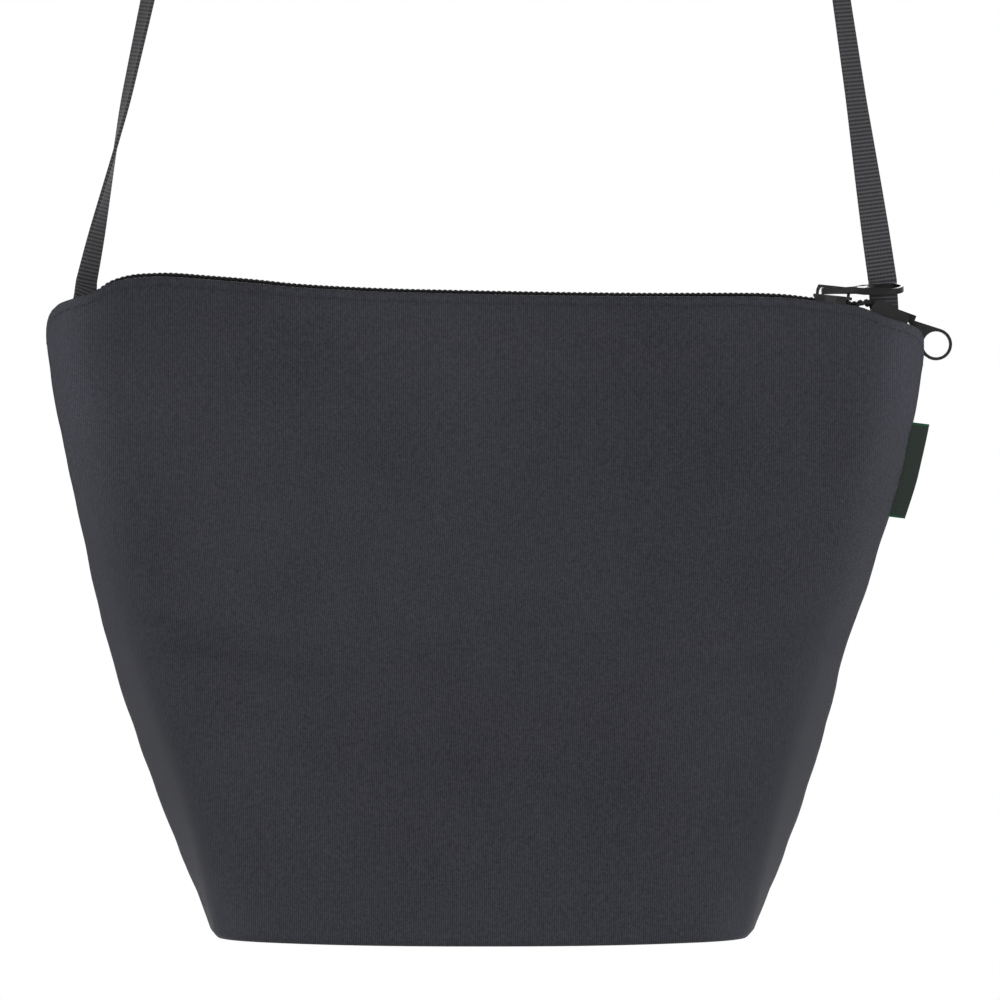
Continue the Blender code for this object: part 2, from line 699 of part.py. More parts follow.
def bridge_outline(reach, rise):
    """An arch from foot to foot; its feet stand in the plate."""
    sink = PLATE_THICK / 2
    return [
        (-reach, -sink), (-reach, rise * 0.5), (-reach * 0.94, rise * 0.82), (-reach * 0.9, rise),
        (reach * 0.9, rise), (reach * 0.94, rise * 0.82), (reach, rise * 0.5), (reach, -sink),
    ]


def soften(ob, width):
    bevel = ob.modifiers.new("edges", "BEVEL")
    bevel.width = width
    bevel.segments = 1
    bevel.limit_method = "ANGLE"
    bevel.angle_limit = math.radians(50)
    bevel.use_clamp_overlap = True


def arc(cx, cy, radius, start, end, steps):
    turn = [math.radians(start + (end - start) * k / steps) for k in range(steps + 1)]
    return [(cx + radius * math.cos(a), cy + radius * math.sin(a)) for a in turn]


def make_pull(name, holder, twist=0):
    """A ring pull: pin and eye at the slider, a neck, and a round ring; it points along +X."""
    centre = PULL_LENGTH - RING_OUTER
    head = EYE_LENGTH * HEAD_SHARE
    away = Vector((centre - head, PULL_HEAD_HALF)).length
    slope = math.degrees(math.asin(RING_OUTER / away) - math.atan2(PULL_HEAD_HALF, centre - head))
    outline = [(-PIN_RADIUS, PULL_HEAD_HALF), (head, PULL_HEAD_HALF)]
    round_end = arc(centre, 0, RING_OUTER, 90 + slope, 0, 10)
    neck = Vector(outline[1]).lerp(Vector(round_end[0]), NECK_SHARE)
    outline += [tuple(neck)] + round_end
    eye_low = PIN_RADIUS
    eye = mirrored([(eye_low, EYE_HALF), (EYE_LENGTH * 0.85, EYE_HALF), (EYE_LENGTH, EYE_HALF * 0.6)])
    hole = arc(centre, 0, RING_HOLE, 0, 360, 24)[:-1]
    outer = mirrored([(x, y if y > MERGE else 0) for x, y in outline])
    mesh = plate(name, [outer, eye, hole], -PULL_THICK / 2, PULL_THICK / 2)
    for point in mesh.vertices:
        turned = smooth((point.co.x - TWIST_START) / (TWIST_END - TWIST_START))
        point.co = Matrix.Rotation(twist * turned, 3, "X") @ point.co
    pull = place(name, mesh, LACQUER, holder)
    soften(pull, EDGE_ROUND)
    return pull


def pivot(name, parent, at, x_axis, z_axis):
    """An empty whose X and Z axes point as given."""
    x = Vector(x_axis).normalized()
    z = Vector(z_axis).normalized()
    y = z.cross(x)
    empty = bpy.data.objects.new(name, None)
    PARTS.objects.link(empty)
    empty.parent = parent
    turn = Matrix((x, y, z)).transposed().to_4x4()
    empty.matrix_basis = Matrix.Translation(at) @ turn
    return empty


RUN_TOP = zip_frame((0, 0, 0), RUN_DIRECTION)[3]
LEFT_PIN_AT = LEFT_SLIDER_AT + RUN_TOP * PIN_HEIGHT + RUN_DIRECTION * LEFT_PIN_AHEAD
RIGHT_PIN_AT = RIGHT_SLIDER_AT + Vector((0, PIN_HEIGHT, 0)) + FALL_DIRECTION * RIGHT_PIN_AHEAD


def make_sliders():
    left = pivot("left_slider_place", FRAME, LEFT_SLIDER_AT, RUN_DIRECTION, RUN_TOP)
    make_slider_body("left_slider_body", left)
    along = Vector((math.cos(LEFT_PULL_RISE), 0, math.sin(LEFT_PULL_RISE)))
    hinge = pivot("left_pull_pivot", FRAME, LEFT_PIN_AT, along, Vector((-along.z, 0, along.x)))
    make_pull("left_pull", hinge, LEFT_PULL_TWIST)
    right_top = Vector((0, 1, 0))
    right = pivot("right_slider_place", FRAME, RIGHT_SLIDER_AT, -FALL_DIRECTION, right_top)
    make_slider_body("right_slider_body", right)
    along = Vector((math.cos(RIGHT_PULL_FALL), 0, -math.sin(RIGHT_PULL_FALL)))
    hinge = pivot("right_pull_pivot", FRAME, RIGHT_PIN_AT, along, right_top)
    make_pull("right_pull", hinge)


# The strap

def strap_line():
    """Points of the strap's middle and the turn of its width, from the left foot over the hook."""
    left, right = place_at(STRAP_LEFT_SHARES), place_at(STRAP_RIGHT_SHARES)
    rise = (right.x - left.x) / (LEAN_LEFT_SHARE + LEAN_RIGHT_SHARE)
    meet = left + Vector((LEAN_LEFT_SHARE * rise, 0, rise))
    up_left = Vector((LEAN_LEFT_SHARE, 0, 1)).normalized()
    up_right = Vector((-LEAN_RIGHT_SHARE, 0, 1)).normalized()
    half_angle = up_left.angle(up_right) / 2
    tangent = HOOK_RADIUS / math.tan(half_angle)
    middle = meet - (up_left + up_right).normalized() * HOOK_RADIUS / math.sin(half_angle)
    sides = []
    for foot, lean, table in ((left, up_left, LEFT_TWIST), (right, up_right, RIGHT_TWIST)):
        top = meet - lean * tangent
        low = STRAP_FOOT_TOP - STRAP_FOOT
        steps = int((top - foot).length / STRAP_STEP)
        heights = [low + (STRAP_FOOT_TOP - low) * k / FOOT_STEPS for k in range(FOOT_STEPS)]
        rise = foot.z - STRAP_FOOT_TOP
        heights += [STRAP_FOOT_TOP + rise * k / FOOT_STEPS for k in range(FOOT_STEPS)]
        rise = top.z - foot.z
        heights += [foot.z + rise * (k / steps) ** STEP_GROWTH for k in range(steps + 1)]
        points = []
        for z in heights:
            at = foot + lean * ((max(z, STRAP_FOOT_TOP) - foot.z) / lean.z)
            at.z = z
            fade = smooth((z - foot.z - TWIST_HEIGHT) / (top.z - foot.z - TWIST_HEIGHT))
            last = table[-1][1]
            turn = between(table, (z - foot.z) / TWIST_HEIGHT)
            if z > foot.z + TWIST_HEIGHT:
                turn = last + (90 - last) * fade
            at.y = strap_back(z, top.z)
            points.append((at, math.radians(turn)))
        sides.append(points)
    line = list(sides[0])
    start = line[-1][0] - middle
    start.y = 0
    sweep = math.pi - 2 * half_angle
    for k in range(1, HOOK_STEPS):
        turn = Matrix.Rotation(sweep * k / HOOK_STEPS, 3, "Y")
        line.append((middle + turn @ start, math.pi / 2))
    return line + sides[1][::-1]


STRAP_FOOT_TOP = BODY_HEIGHT * STRAP_FOOT_SHARE
STRAP_MEASURE = BODY_HEIGHT * STRAP_LEFT_SHARES[1]
FOOT_BACK = MOUTH_DEPTH / 2 + STRAP_SEAT + STRAP_THICK / 2


def strap_back(z, top_z):
    """How far behind the zip the strap's middle lies at a height."""
    sewn = half_depth(z) + STRAP_SEAT + STRAP_THICK / 2
    if z <= STRAP_FOOT_TOP:
        return max(sewn, FOOT_BACK)
    rising = smooth((z - STRAP_FOOT_TOP) / (STRAP_MEASURE - STRAP_FOOT_TOP))
    back = FOOT_BACK + (STRAP_BACK - FOOT_BACK) * rising
    return back * (1 - smooth((z - STRAP_MEASURE - TWIST_HEIGHT) / (top_z - STRAP_MEASURE - TWIST_HEIGHT)))


def make_strap():
    line = strap_line()
    rings = []
    for k, (at, turn) in enumerate(line):
        ahead = (line[min(k + 1, len(line) - 1)][0] - line[max(k - 1, 0)][0]).normalized()
        flat = Vector((math.cos(turn), math.sin(turn), 0))
        wide = (flat - ahead * flat.dot(ahead)).normalized()
        thick = ahead.cross(wide)
        corners = ((-1, -1), (1, -1), (1, 1), (-1, 1))
        rings.append(
            [at + wide * STRAP_WIDTH / 2 * x + thick * STRAP_THICK / 2 * y for x, y in corners]
        )
    place("strap", loft("strap", rings), WEBBING)
    return line


def make_label():
    """The woven label, folded double, that stands out of the right side seam."""
    low = BODY_HEIGHT * LABEL_LOW_SHARE
    heights = [low + LABEL_HEIGHT * k / LABEL_STEPS for k in range(LABEL_STEPS + 1)]
    inner = [(half_width(z) + SEAM_GAP, z) for z in heights]
    outer = [(x + LABEL_OUT, z) for x, z in reversed(inner)]
    mesh = plate("side_label", [inner + outer], -LABEL_THICK / 2, LABEL_THICK / 2)
    mesh.transform(Matrix.Rotation(math.pi / 2, 4, "X"))
    sway(mesh)
    place("side_label", mesh, LABEL)


make_panels()
make_bindings()
make_tapes()
make_teeth()
make_sliders()
STRAP = make_strap()
make_label()

APEX = max((p for p, _ in STRAP), key=lambda p: p.z)
FRAME.location = -Vector((APEX.x, APEX.y, APEX.z + STRAP_THICK / 2))
bpy.context.view_layer.update()
STRAP_LENGTH = sum((b[0] - a[0]).length for a, b in zip(STRAP, STRAP[1:]))
print("strap length mm", round(STRAP_LENGTH / MM))
for label, point in (
    ("base middle", Vector((0, 0, 0))),
    ("left slider", LEFT_SLIDER_AT),
    ("left pull pin", LEFT_PIN_AT),
    ("right slider", RIGHT_SLIDER_AT),
    ("right pull pin", RIGHT_PIN_AT),
):
    print(label, [round(v, 6) for v in (point + FRAME.location)])
SLIDE = LEFT_SLIDER_AT - place_at(FAR_LEFT_SHARES)
print("left slide", [round(v, 6) for v in SLIDE.normalized()], "over mm", round(SLIDE.length / MM, 2))
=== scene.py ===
"""Looks of a small zip-top nylon shoulder bag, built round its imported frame.

Metres, +Z up, in the row's frame. The front faces -Y and +X is to the right as seen from
the front. The cloth, zip and strap are worked out in the bag's own frame, whose zero is the
middle of the base, and BAG moves them to their place.
"""
import json
import math

import bpy
from bpy.props import FloatProperty, FloatVectorProperty, PointerProperty
from bpy.types import NodeSocket, Operator, Panel, PropertyGroup, Scene
from mathutils import Matrix, Vector, noise


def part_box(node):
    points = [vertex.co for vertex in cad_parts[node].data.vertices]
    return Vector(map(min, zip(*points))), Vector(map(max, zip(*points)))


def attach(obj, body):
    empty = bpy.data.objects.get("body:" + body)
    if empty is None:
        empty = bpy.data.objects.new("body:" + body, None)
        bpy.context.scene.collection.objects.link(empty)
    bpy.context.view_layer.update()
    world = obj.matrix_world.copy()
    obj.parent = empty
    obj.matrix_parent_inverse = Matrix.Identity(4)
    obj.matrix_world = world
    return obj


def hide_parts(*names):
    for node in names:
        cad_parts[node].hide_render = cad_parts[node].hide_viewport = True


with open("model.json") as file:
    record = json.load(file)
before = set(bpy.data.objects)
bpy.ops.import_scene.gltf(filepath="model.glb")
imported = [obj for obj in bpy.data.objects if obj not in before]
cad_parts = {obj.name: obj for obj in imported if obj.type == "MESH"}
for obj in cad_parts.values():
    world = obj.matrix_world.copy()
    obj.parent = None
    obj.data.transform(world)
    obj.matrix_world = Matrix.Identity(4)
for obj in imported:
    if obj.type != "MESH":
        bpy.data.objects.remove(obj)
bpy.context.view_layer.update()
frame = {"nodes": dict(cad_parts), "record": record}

bl_info = {
    "name": "Shoulder Bag Looks",
    "version": (1, 0, 0),
    "blender": (4, 5, 0),
    "location": "View3D > Sidebar > Shoulder Bag",
    "description": "Builds the cloth, zip, strap and label of a nylon shoulder bag round its frame",
    "category": "Object",
}

MM = 0.001
REST = next(m for m in frame["record"]["mounts"] if m["name"] == "base_rest")["pos_m"]
BAG = Vector((REST[0], 0, REST[2]))

# The bag
TOP_WIDTH = 293 * MM
BASE_WIDTH = 178 * MM
BASE_DEPTH = 76 * MM
BODY_HEIGHT = 223 * MM
MOUTH_DEPTH = 13.6 * MM
SWAY = 3 * MM
SIDE_FOLD = 14 * MM
FOLD_SOFTNESS = 14 * MM
BASE_ROUND = 2.6 * MM
SEAM_HALF = 0.15 * MM
CLOTH_THICK = 0.35 * MM
CORNER_HEIGHT = BODY_HEIGHT * 0.907
TAPER_POWER = 1.15
FOLD_REACH_SHARE = 0.6
SIDE_ROUND_SHARE = 0.7
# By height, as a share of the corners' height: widening from base to top, sway, and how far
# the side folds stand open
WIDE_SHARES = (
    (0, 0), (0.0247, 0.021), (0.0692, 0.087), (0.135, 0.1826), (0.2012, 0.272), (0.267, 0.354),
    (0.3327, 0.4296), (0.399, 0.501), (0.4648, 0.563), (0.4979, 0.593), (0.5305, 0.633),
    (0.5636, 0.6696), (0.6294, 0.7287), (0.6956, 0.7896), (0.7614, 0.852), (0.7945, 0.8748),
    (0.8603, 0.9278), (0.8934, 0.9478), (0.926, 0.9687), (0.9592, 0.9826), (1, 1),
)
SWAY_SHARES = (
    (0, 0.43), (0.07, 0.33), (0.2, 0.45), (0.33, 0.67), (0.4, 0.83), (0.46, 1), (0.5, 1),
    (0.56, 0.67), (0.63, 0.5), (0.7, 0.22), (0.8, 0),
)
FOLD_SHARES = ((0, 0.14), (0.12, 0.62), (0.28, 1.0), (0.78, 0.86), (0.94, 0.5), (1.1, 0.36))
ZIP_SHARES = (
    (-0.938, 0.953), (-0.911, 0.964), (-0.889, 0.9713), (-0.855, 0.9864), (-0.81, 0.9954),
    (-0.753, 0.9983), (-0.708, 0.9983), (-0.65, 0.9954), (-0.537, 0.9894), (-0.423, 0.9819),
    (-0.2526, 0.9759), (-0.082, 0.973), (0.1456, 0.97), (0.373, 0.9685), (0.6007, 0.9685),
    (0.68, 0.9665), (0.745, 0.9616), (0.79, 0.9585), (0.8328, 0.9555),
)
MIDDLE_TOP_SHARES = tuple((across, up - 0.0036) for across, up in ZIP_SHARES[3:])
FRONT_TOP_SHARES = (
    (-1, 0.907), (-0.9975, 0.926), (-0.991, 0.938), (-0.982, 0.946), (-0.965, 0.955),
    (-0.93, 0.962), (-0.89, 0.9665),
) + MIDDLE_TOP_SHARES + (
    (0.878, 0.942), (0.896, 0.934), (0.953, 0.925), (0.982, 0.917), (0.994, 0.905), (1, 0.875),
)
BACK_TOP_SHARES = (
    (-1, 0.907), (-0.985, 0.925), (-0.965, 0.93), (-0.93, 0.935), (-0.89, 0.95),
) + MIDDLE_TOP_SHARES + (
    (0.878, 0.942), (0.896, 0.930), (0.93, 0.912), (0.95, 0.892), (0.968, 0.870), (0.9905, 0.866),
    (1, 0.875),
)
BASE_LIFT = 2.3 * MM
LIFT_HEIGHT = 45 * MM
SIDE_STEPS = 10
FOLD_STEPS = 9
FRONT_STEPS = 40
WALL_ROWS = 76
BASE_ROWS = 5
FLOOR_ROWS = 4
FLOOR_START = 0.05
HEM_DEPTH = 3.4 * MM
# The hem's section: height from the top edge and how far it stands out, in millimetres
HEM_SECTION = (
    (-3.4, 0), (-3.15, -0.22), (-2.9, -0.02), (-2.4, 0.22), (-1.6, 0.34), (-0.8, 0.3),
    (-0.3, 0.12), (-0.05, -0.2), (0, -0.45), (-0.25, -0.72), (-1.2, -0.8), (-5, -0.8), (-9, -0.8),
)
HEM_STITCH_ROW = 1
HEM_FADE = 3 * MM
HEM_SEAM_IN = 0.15 * MM
# Soft creases: ends (X, Z), half width and depth in millimetres, and the face they lie on
CREASES = (
    ((-120, 106), (-44, 93), 4.5, 3.84, -1), ((70, 96), (124, 104), 6, 2.88, -1),
    ((-60, 190), (-20, 150), 9, 1.6, -1), ((20, 60), (74, 40), 10, 1.6, -1),
    ((-110, 100), (-40, 96), 6, 1.92, 1), ((10, 150), (80, 120), 8, 1.28, 1),
    ((40, 90), (120, 104), 6, 1.76, 1),
)

# Waves of the cloth, puckers along the side seams, and the seams' groove
WAVES_ACROSS = 11
WAVES_UP = 9
WAVE_DEPTH = 1.3 * MM
RIPPLE_DEPTH = 0.35 * MM
PUCKER_DEPTH = 0.16 * MM
PUCKER_PITCH = 3.1 * MM
PUCKER_REACH = 7 * MM
GROOVE_DEPTH = 0.25 * MM
GROOVE_WIDTH = 1.1 * MM
CALM_LOW = 25 * MM
CALM_HIGH = 20 * MM
CALM_TOP = BODY_HEIGHT * 0.96
# Painted sheen along the side edges: how much paler it makes the cloth, how far in it reaches, and
# its share at the base
EDGE_SHEEN = 0.9
EDGE_SHEEN_WIDTH = 12 * MM
EDGE_SHEEN_LOW_SHARE = 0.75
EDGE_SHEEN_RISE = 1.3
# How far each side of the cloth stands out past the frame's line
EDGE_EASE = 0.8 * MM

# The zip
TEETH_PITCH = 1.8 * MM
TEETH_THICK = 1.4 * MM
TOOTH_OVERLAP = 0.5 * MM
TOOTH_REACH = 2.3 * MM
SPREAD = 1.3 * MM
TAPE_THICK = 0.35 * MM
TAPE_INNER = 1.0 * MM
TAPE_DROP = 11 * MM
TAPE_CLEAR = 0.25 * MM
TAPE_WALL = 5.15 * MM
TAPE_TAIL = 3.4 * MM
TAPE_HEM = 1.2
TAPE_BEND = 0.4 * MM
TAPE_EDGE = 0.1 * MM
TAPE_STEPS = 150
TAPE_TAPER = 20 * MM
ROLL_CLEAR = 0.6 * MM
RIGHT_TILT = math.radians(20)
RIGHT_TAIL = 2 * MM
SLIDER_LENGTH = 13 * MM
SPREAD_START_SHARE = -0.385
SPREAD_END_SHARE = 0.185
LEFT_SLIDER_BACK = 6.4 * MM
COIL_STEPS = 14
COIL_SIDES = 6
COIL_FLAT = 1.45
COIL_SQUARE = 0.7
CORD_RADIUS = 0.5 * MM
CORD_DROP = 0.38 * MM
CORD_OUT = 0.35 * MM

# The strap
STRAP_WIDTH = 9.6 * MM
STRAP_THICK = 1.2 * MM
STRAP_FOOT = 16 * MM
STRAP_SEAT = 0.6 * MM
STRAP_BACK = 10.5 * MM
STRAP_FOOT_TOP = BODY_HEIGHT * 0.945
STRAP_FEET = ((-0.91468, 0.98969), (0.90785, 0.98969))
STRAP_MEASURE = BODY_HEIGHT * STRAP_FEET[0][1]
LEAN_LEFT_SHARE = 0.217
LEAN_RIGHT_SHARE = 0.146
HOOK_RADIUS = 10 * MM
TWIST_HEIGHT = 93.3 * MM
# Turn of the width in degrees, by height above the foot as a share of TWIST_HEIGHT
LEFT_TWIST = (
    (-0.11, 0), (-0.085, 38), (-0.06, 46), (0, 48), (0.14, 58), (0.285, 74), (0.44, 90),
    (0.64, 108), (1, 118),
)
RIGHT_TWIST = ((0, 0), (0.285, 22), (0.46, 34), (0.64, 44), (1, 51))
TWIST_SOFT = 0.05
TWIST_SOFT_HEIGHT = 25 * MM
STRAP_STEP = 2 * MM
FOOT_STEPS = 8
BEND_STEPS = 14
HOOK_STEPS = 24
FOOT_LEAN_SHARE = 0.3
STEP_GROWTH = 1.15
# Stitches: length, gap and radius
STRAP_STITCH = (1.9 * MM, 0.35 * MM, 0.22 * MM)
HEM_STITCH = (2.3 * MM, 0.5 * MM, 0.17 * MM)
STITCH_INSET = 1.6 * MM
STITCH_SEAT = 0.85
HEM_STITCH_OUT = 0.1 * MM

# The side label and the bindings inside
LABEL_LOW = BODY_HEIGHT * 0.6368
LABEL_HEIGHT = 31.5 * MM
LABEL_OUT = 5.6 * MM
LABEL_THICK = 0.9 * MM
LABEL_IN = 1.4 * MM
LABEL_GAP = 0.3 * MM
LABEL_ENDS = 0.7 * MM
LABEL_WAVE = 0.35 * MM
LABEL_EDGE_WAVE = 0.25 * MM
LABEL_DROOP = 0.9 * MM
LABEL_STEPS = 26
BINDING_WIDTH = 6 * MM
BINDING_THICK = 1.2 * MM
BINDING_IN = 2.5 * MM
BINDING_STEPS = 40
BASE_BINDING_STEPS = 30

# The camera: what the photograph shows, and from where
VIEW_WIDTH = 333.3 * MM
VIEW_CENTRE = (4.667 * MM, 147.33 * MM)
VIEW_PLANE = -7 * MM
LENS = 300
SENSOR = 36
# Lights: place from the bag's middle, width and height, and share of the key light's power
LIGHTS = {
    "key": ((-1.1, -1.8, 0.8), (1.2, 1.6), 0.85),
    "fill": ((1.3, -1.7, 0.3), (1.2, 1.6), 0.75),
    "front": ((0.1, -2.2, 0.8), (1.0, 0.8), 0.5),
    "rim": ((0.2, 1.6, 1.0), (1.6, 0.8), 0.9),
}
FLOOR_RADII = (0.05, 1, 2.4)
FLOOR_SIDES = 48
# Glow of the floor as seen, which brings it to the white of the photograph's paper
FLOOR_PALER = 0.4


# Small tools

def between(table, x):
    """Value of a table of pairs at x, in straight steps."""
    if x <= table[0][0]:
        return table[0][1]
    for (x0, y0), (x1, y1) in zip(table, table[1:]):
        if x <= x1:
            return y0 + (y1 - y0) * (x - x0) / (x1 - x0)
    return table[-1][1]


def eased(table, x, spread):
    """The same, with its corners softened over a spread to each side."""
    offsets = (-1, -0.5, 0, 0.5, 1)
    return sum(between(table, x + spread * k) for k in offsets) / len(offsets)


def smooth(t):
    t = min(max(t, 0), 1)
    return t * t * (3 - 2 * t)


def bezier(a, b, c, d, t):
    u = 1 - t
    return a * u ** 3 + b * 3 * u * u * t + c * 3 * u * t * t + d * t ** 3


def place_at(across, up):
    return Vector((TOP_WIDTH / 2 * across, 0, BODY_HEIGHT * up))


def lengths(points):
    """Length of a line of points up to each of them."""
    run = [0]
    for p, q in zip(points, points[1:]):
        run.append(run[-1] + (q - p).length)
    return run


def directions(points):
    """Direction of a line of points at each of them."""
    last = len(points) - 1
    return [(points[min(k + 1, last)] - points[max(k - 1, 0)]).normalized() for k in range(last + 1)]


def circle(count):
    turns = (2 * math.pi * k / count for k in range(count))
    return [(math.cos(a), math.sin(a)) for a in turns]


def new_object(name, points, faces, material, uvs=None, place=BAG, edge_sheens=None):
    """A mesh object of the bag, in its material, with its UV map in metres of cloth."""
    mesh = bpy.data.meshes.new(name)
    mesh.from_pydata([tuple(p + place) for p in points], [], faces)
    if uvs:
        layer = mesh.uv_layers.new(name="cloth")
        for loop in mesh.loops:
            layer.data[loop.index].uv = uvs[loop.vertex_index]
    # The fade attribute holds painted sheen: paler cloth along the side edges.
    if edge_sheens:
        mesh.attributes.new("fade", "FLOAT", "POINT").data.foreach_set("value", edge_sheens)
    mesh.materials.append(material)
    mesh.validate()
    ob = bpy.data.objects.new(name, mesh)
    bpy.context.scene.collection.objects.link(ob)
    mesh.shade_smooth()
    return ob


def grid_faces(rows, columns, closed=False):
    """Faces between rows of points, where closed joins each row's end to its start."""
    faces = []
    for r in range(rows - 1):
        for k in range(columns if closed else columns - 1):
            a = r * columns + k
            b = r * columns + (k + 1) % columns
            faces.append((a, b, b + columns, a + columns))
    return faces


def tube(rings, closed_ends=True):
    """Points and faces through closed rings."""
    count = len(rings[0])
    points = [p for ring in rings for p in ring]
    faces = grid_faces(len(rings), count, closed=True)
    if closed_ends:
        faces.append(list(range(count))[::-1])
        faces.append([len(points) - count + k for k in range(count)])
    return points, faces


def settled(ob, slot, *nodes):
    """Puts a piece on the root body and hides the CAD nodes it stands for; the slot is not used."""
    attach(ob, "root")
    if nodes:
        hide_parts(*nodes)


# Materials

def give(socket, value):
    """Links a socket to another one, or sets its value."""
    if isinstance(value, NodeSocket):
        socket.id_data.links.new(value, socket)
    else:
        socket.default_value = value


def feed(node, **values):
    """Feeds a node's sockets by name, with _ for a space, from sockets or with values."""
    for label, value in values.items():
        give(node.inputs[label.replace("_", " ")], value)
    return node


def new_group(name, inputs, outputs):
    """A node group; a socket whose name ends in Color is a colour, the others are numbers."""
    tree = bpy.data.node_groups.new(name, "ShaderNodeTree")
    for way, labels in (("INPUT", inputs), ("OUTPUT", outputs)):
        for label in labels:
            kind = "NodeSocketColor" if label.endswith("Color") else "NodeSocketFloat"
            socket = tree.interface.new_socket(label, in_out=way, socket_type=kind)
            if way == "INPUT":
                socket.default_value = inputs[label]
    return tree, tree.nodes.new("NodeGroupInput").outputs, tree.nodes.new("NodeGroupOutput")


def calc(operation, *values, clamp=False):
    """A Math node's value from sockets or numbers, in the tree of the first socket."""
    tree = next(value.id_data for value in values if isinstance(value, NodeSocket))
    node = tree.nodes.new("ShaderNodeMath")
    node.operation = operation
    node.use_clamp = clamp
    for socket, value in zip(node.inputs, values):
        give(socket, value)
    return node.outputs[0]


def noise_at(vector, scale, detail=3, roughness=0.55):
    node = vector.id_data.nodes.new("ShaderNodeTexNoise")
    feed(node, Vector=vector, Scale=scale, Detail=detail, Roughness=roughness)
    return node.outputs["Fac"]


def mixed(factor, first, second):
    """One colour or the other, by a factor."""
    node = factor.id_data.nodes.new("ShaderNodeMix")
    node.data_type = "RGBA"
    for slot, value in ((0, factor), (6, first), (7, second)):
        give(node.inputs[slot], value)
    return node.outputs[2]


def cloth_map(tree):
    """The two directions of the cloth, in metres."""
    uv = tree.nodes.new("ShaderNodeUVMap")
    uv.uv_map = "cloth"
    parts = tree.nodes.new("ShaderNodeSeparateXYZ")
    give(parts.inputs[0], uv.outputs[0])
    return parts.outputs[0], parts.outputs[1]


def ripple(angle):
    """A sine wave between nought and one."""
    return calc("MULTIPLY_ADD", calc("SINE", angle), 0.5, 0.5)


def object_place(tree):
    return tree.nodes.new("ShaderNodeTexCoord").outputs["Object"]


def weave_group():
    """Ribs along V with a finer thread across them, and uneven yarns."""
    tree, given, made = new_group(
        "Ribbed weave",
        {"Rib Pitch": 0.7, "Thread Pitch": 0.45, "Thread Share": 0.35, "Stagger": 1},
        ("Height",),
    )
    u, v = cloth_map(tree)
    wander = noise_at(object_place(tree), 60, 2)
    wander = calc("MULTIPLY", calc("SUBTRACT", wander, 0.5), 1.2)
    turn = 2 * math.pi / MM
    across = calc("DIVIDE", calc("MULTIPLY", u, turn), given["Rib Pitch"])
    rib = ripple(calc("ADD", across, wander))
    along = calc("DIVIDE", calc("MULTIPLY", v, turn), given["Thread Pitch"])
    odd_rib = calc("GREATER_THAN", calc("SINE", calc("MULTIPLY", across, 0.5)), 0)
    half_turn = calc("MULTIPLY", given["Stagger"], math.pi)
    thread = ripple(calc("ADD", along, calc("MULTIPLY", odd_rib, half_turn)))
    share = given["Thread Share"]
    ribs = calc("MULTIPLY", rib, calc("SUBTRACT", 1, share))
    feed(made, Height=calc("ADD", ribs, calc("MULTIPLY", thread, share)))
    return tree


def tone_group():
    """Cloth colour with painted shade between threads, blotches, specks and painted sheen on the
    side edges.
    """
    tree, given, made = new_group(
        "Cloth tone",
        {"Color": (0.04, 0.04, 0.045, 1), "Height": 0.5, "Gap Depth": 0.3, "Blotches": 0.12,
         "Specks": 0.2},
        ("Color", "Roughness Shift"),
    )
    place = object_place(tree)
    large = calc("SUBTRACT", noise_at(place, 14, 4), 0.5)
    fine = calc("SUBTRACT", noise_at(place, 900, 2), 0.5)
    # Painted shade between threads: darker where the weave is low, lighter on the thread tops.
    gap = calc("MULTIPLY", calc("SUBTRACT", given["Height"], 0.5), given["Gap Depth"])
    blotch = calc("MULTIPLY", large, calc("MULTIPLY", given["Blotches"], 2))
    speck = calc("MULTIPLY", fine, given["Specks"])
    uneven = calc("ADD", blotch, speck)
    # Painted sheen: the fade attribute makes the cloth paler along its side edges.
    rubbed = tree.nodes.new("ShaderNodeAttribute")
    rubbed.attribute_name = "fade"
    paler = calc("ADD", rubbed.outputs["Fac"], 1)
    scale = tree.nodes.new("ShaderNodeVectorMath")
    scale.operation = "SCALE"
    give(scale.inputs[0], given["Color"])
    feed(scale, Scale=calc("ADD", calc("ADD", gap, uneven), paler))
    feed(made, Color=scale.outputs[0], Roughness_Shift=calc("MULTIPLY", uneven, 0.6))
    return tree


def wear_group():
    """Lacquer with rubbed patches and hairline scratches."""
    tree, given, made = new_group(
        "Lacquer wear",
        {"Color": (0.01, 0.01, 0.011, 1), "Rubbed Color": (0.06, 0.06, 0.062, 1), "Amount": 0.4,
         "Roughness": 0.25},
        ("Color", "Roughness", "Height"),
    )
    place = object_place(tree)
    patches = calc("SUBTRACT", noise_at(place, 350, 5, 0.7), 0.56)
    patches = calc("MULTIPLY", patches, 6, clamp=True)
    stretch = tree.nodes.new("ShaderNodeVectorMath")
    stretch.operation = "MULTIPLY"
    give(stretch.inputs[0], place)
    give(stretch.inputs[1], (0.12, 1, 1))
    lines = calc("SUBTRACT", noise_at(stretch.outputs[0], 2600, 2), 0.62)
    lines = calc("MULTIPLY", lines, 8, clamp=True)
    worn = calc("MULTIPLY", calc("MAXIMUM", patches, lines), given["Amount"])
    duller = calc("ADD", given["Roughness"], calc("MULTIPLY", worn, 0.3))
    feed(made, Color=mixed(worn, given["Color"], given["Rubbed Color"]), Roughness=duller,
         Height=calc("SUBTRACT", 1, worn))
    return tree


GROUPS = {"Ribbed weave": weave_group, "Cloth tone": tone_group, "Lacquer wear": wear_group}


def add_group(tree, name, **values):
    """The outputs of a node of a shared group, which is made at its first use."""
    node = tree.nodes.new("ShaderNodeGroup")
    node.node_tree = bpy.data.node_groups.get(name) or GROUPS[name]()
    return feed(node, **values).outputs


def bare_material(name):
    """A material by this name and its empty tree, or without the tree where it's made already."""
    name = "bag_" + name
    found = bpy.data.materials.get(name)
    if found:
        return found, None, None
    mat = bpy.data.materials.new(name)
    mat.use_nodes = True
    return mat, mat.node_tree, mat.node_tree.nodes["Principled BSDF"]


def bump(height, depth):
    node = height.id_data.nodes.new("ShaderNodeBump")
    return feed(node, Height=height, Distance=depth).outputs[0]


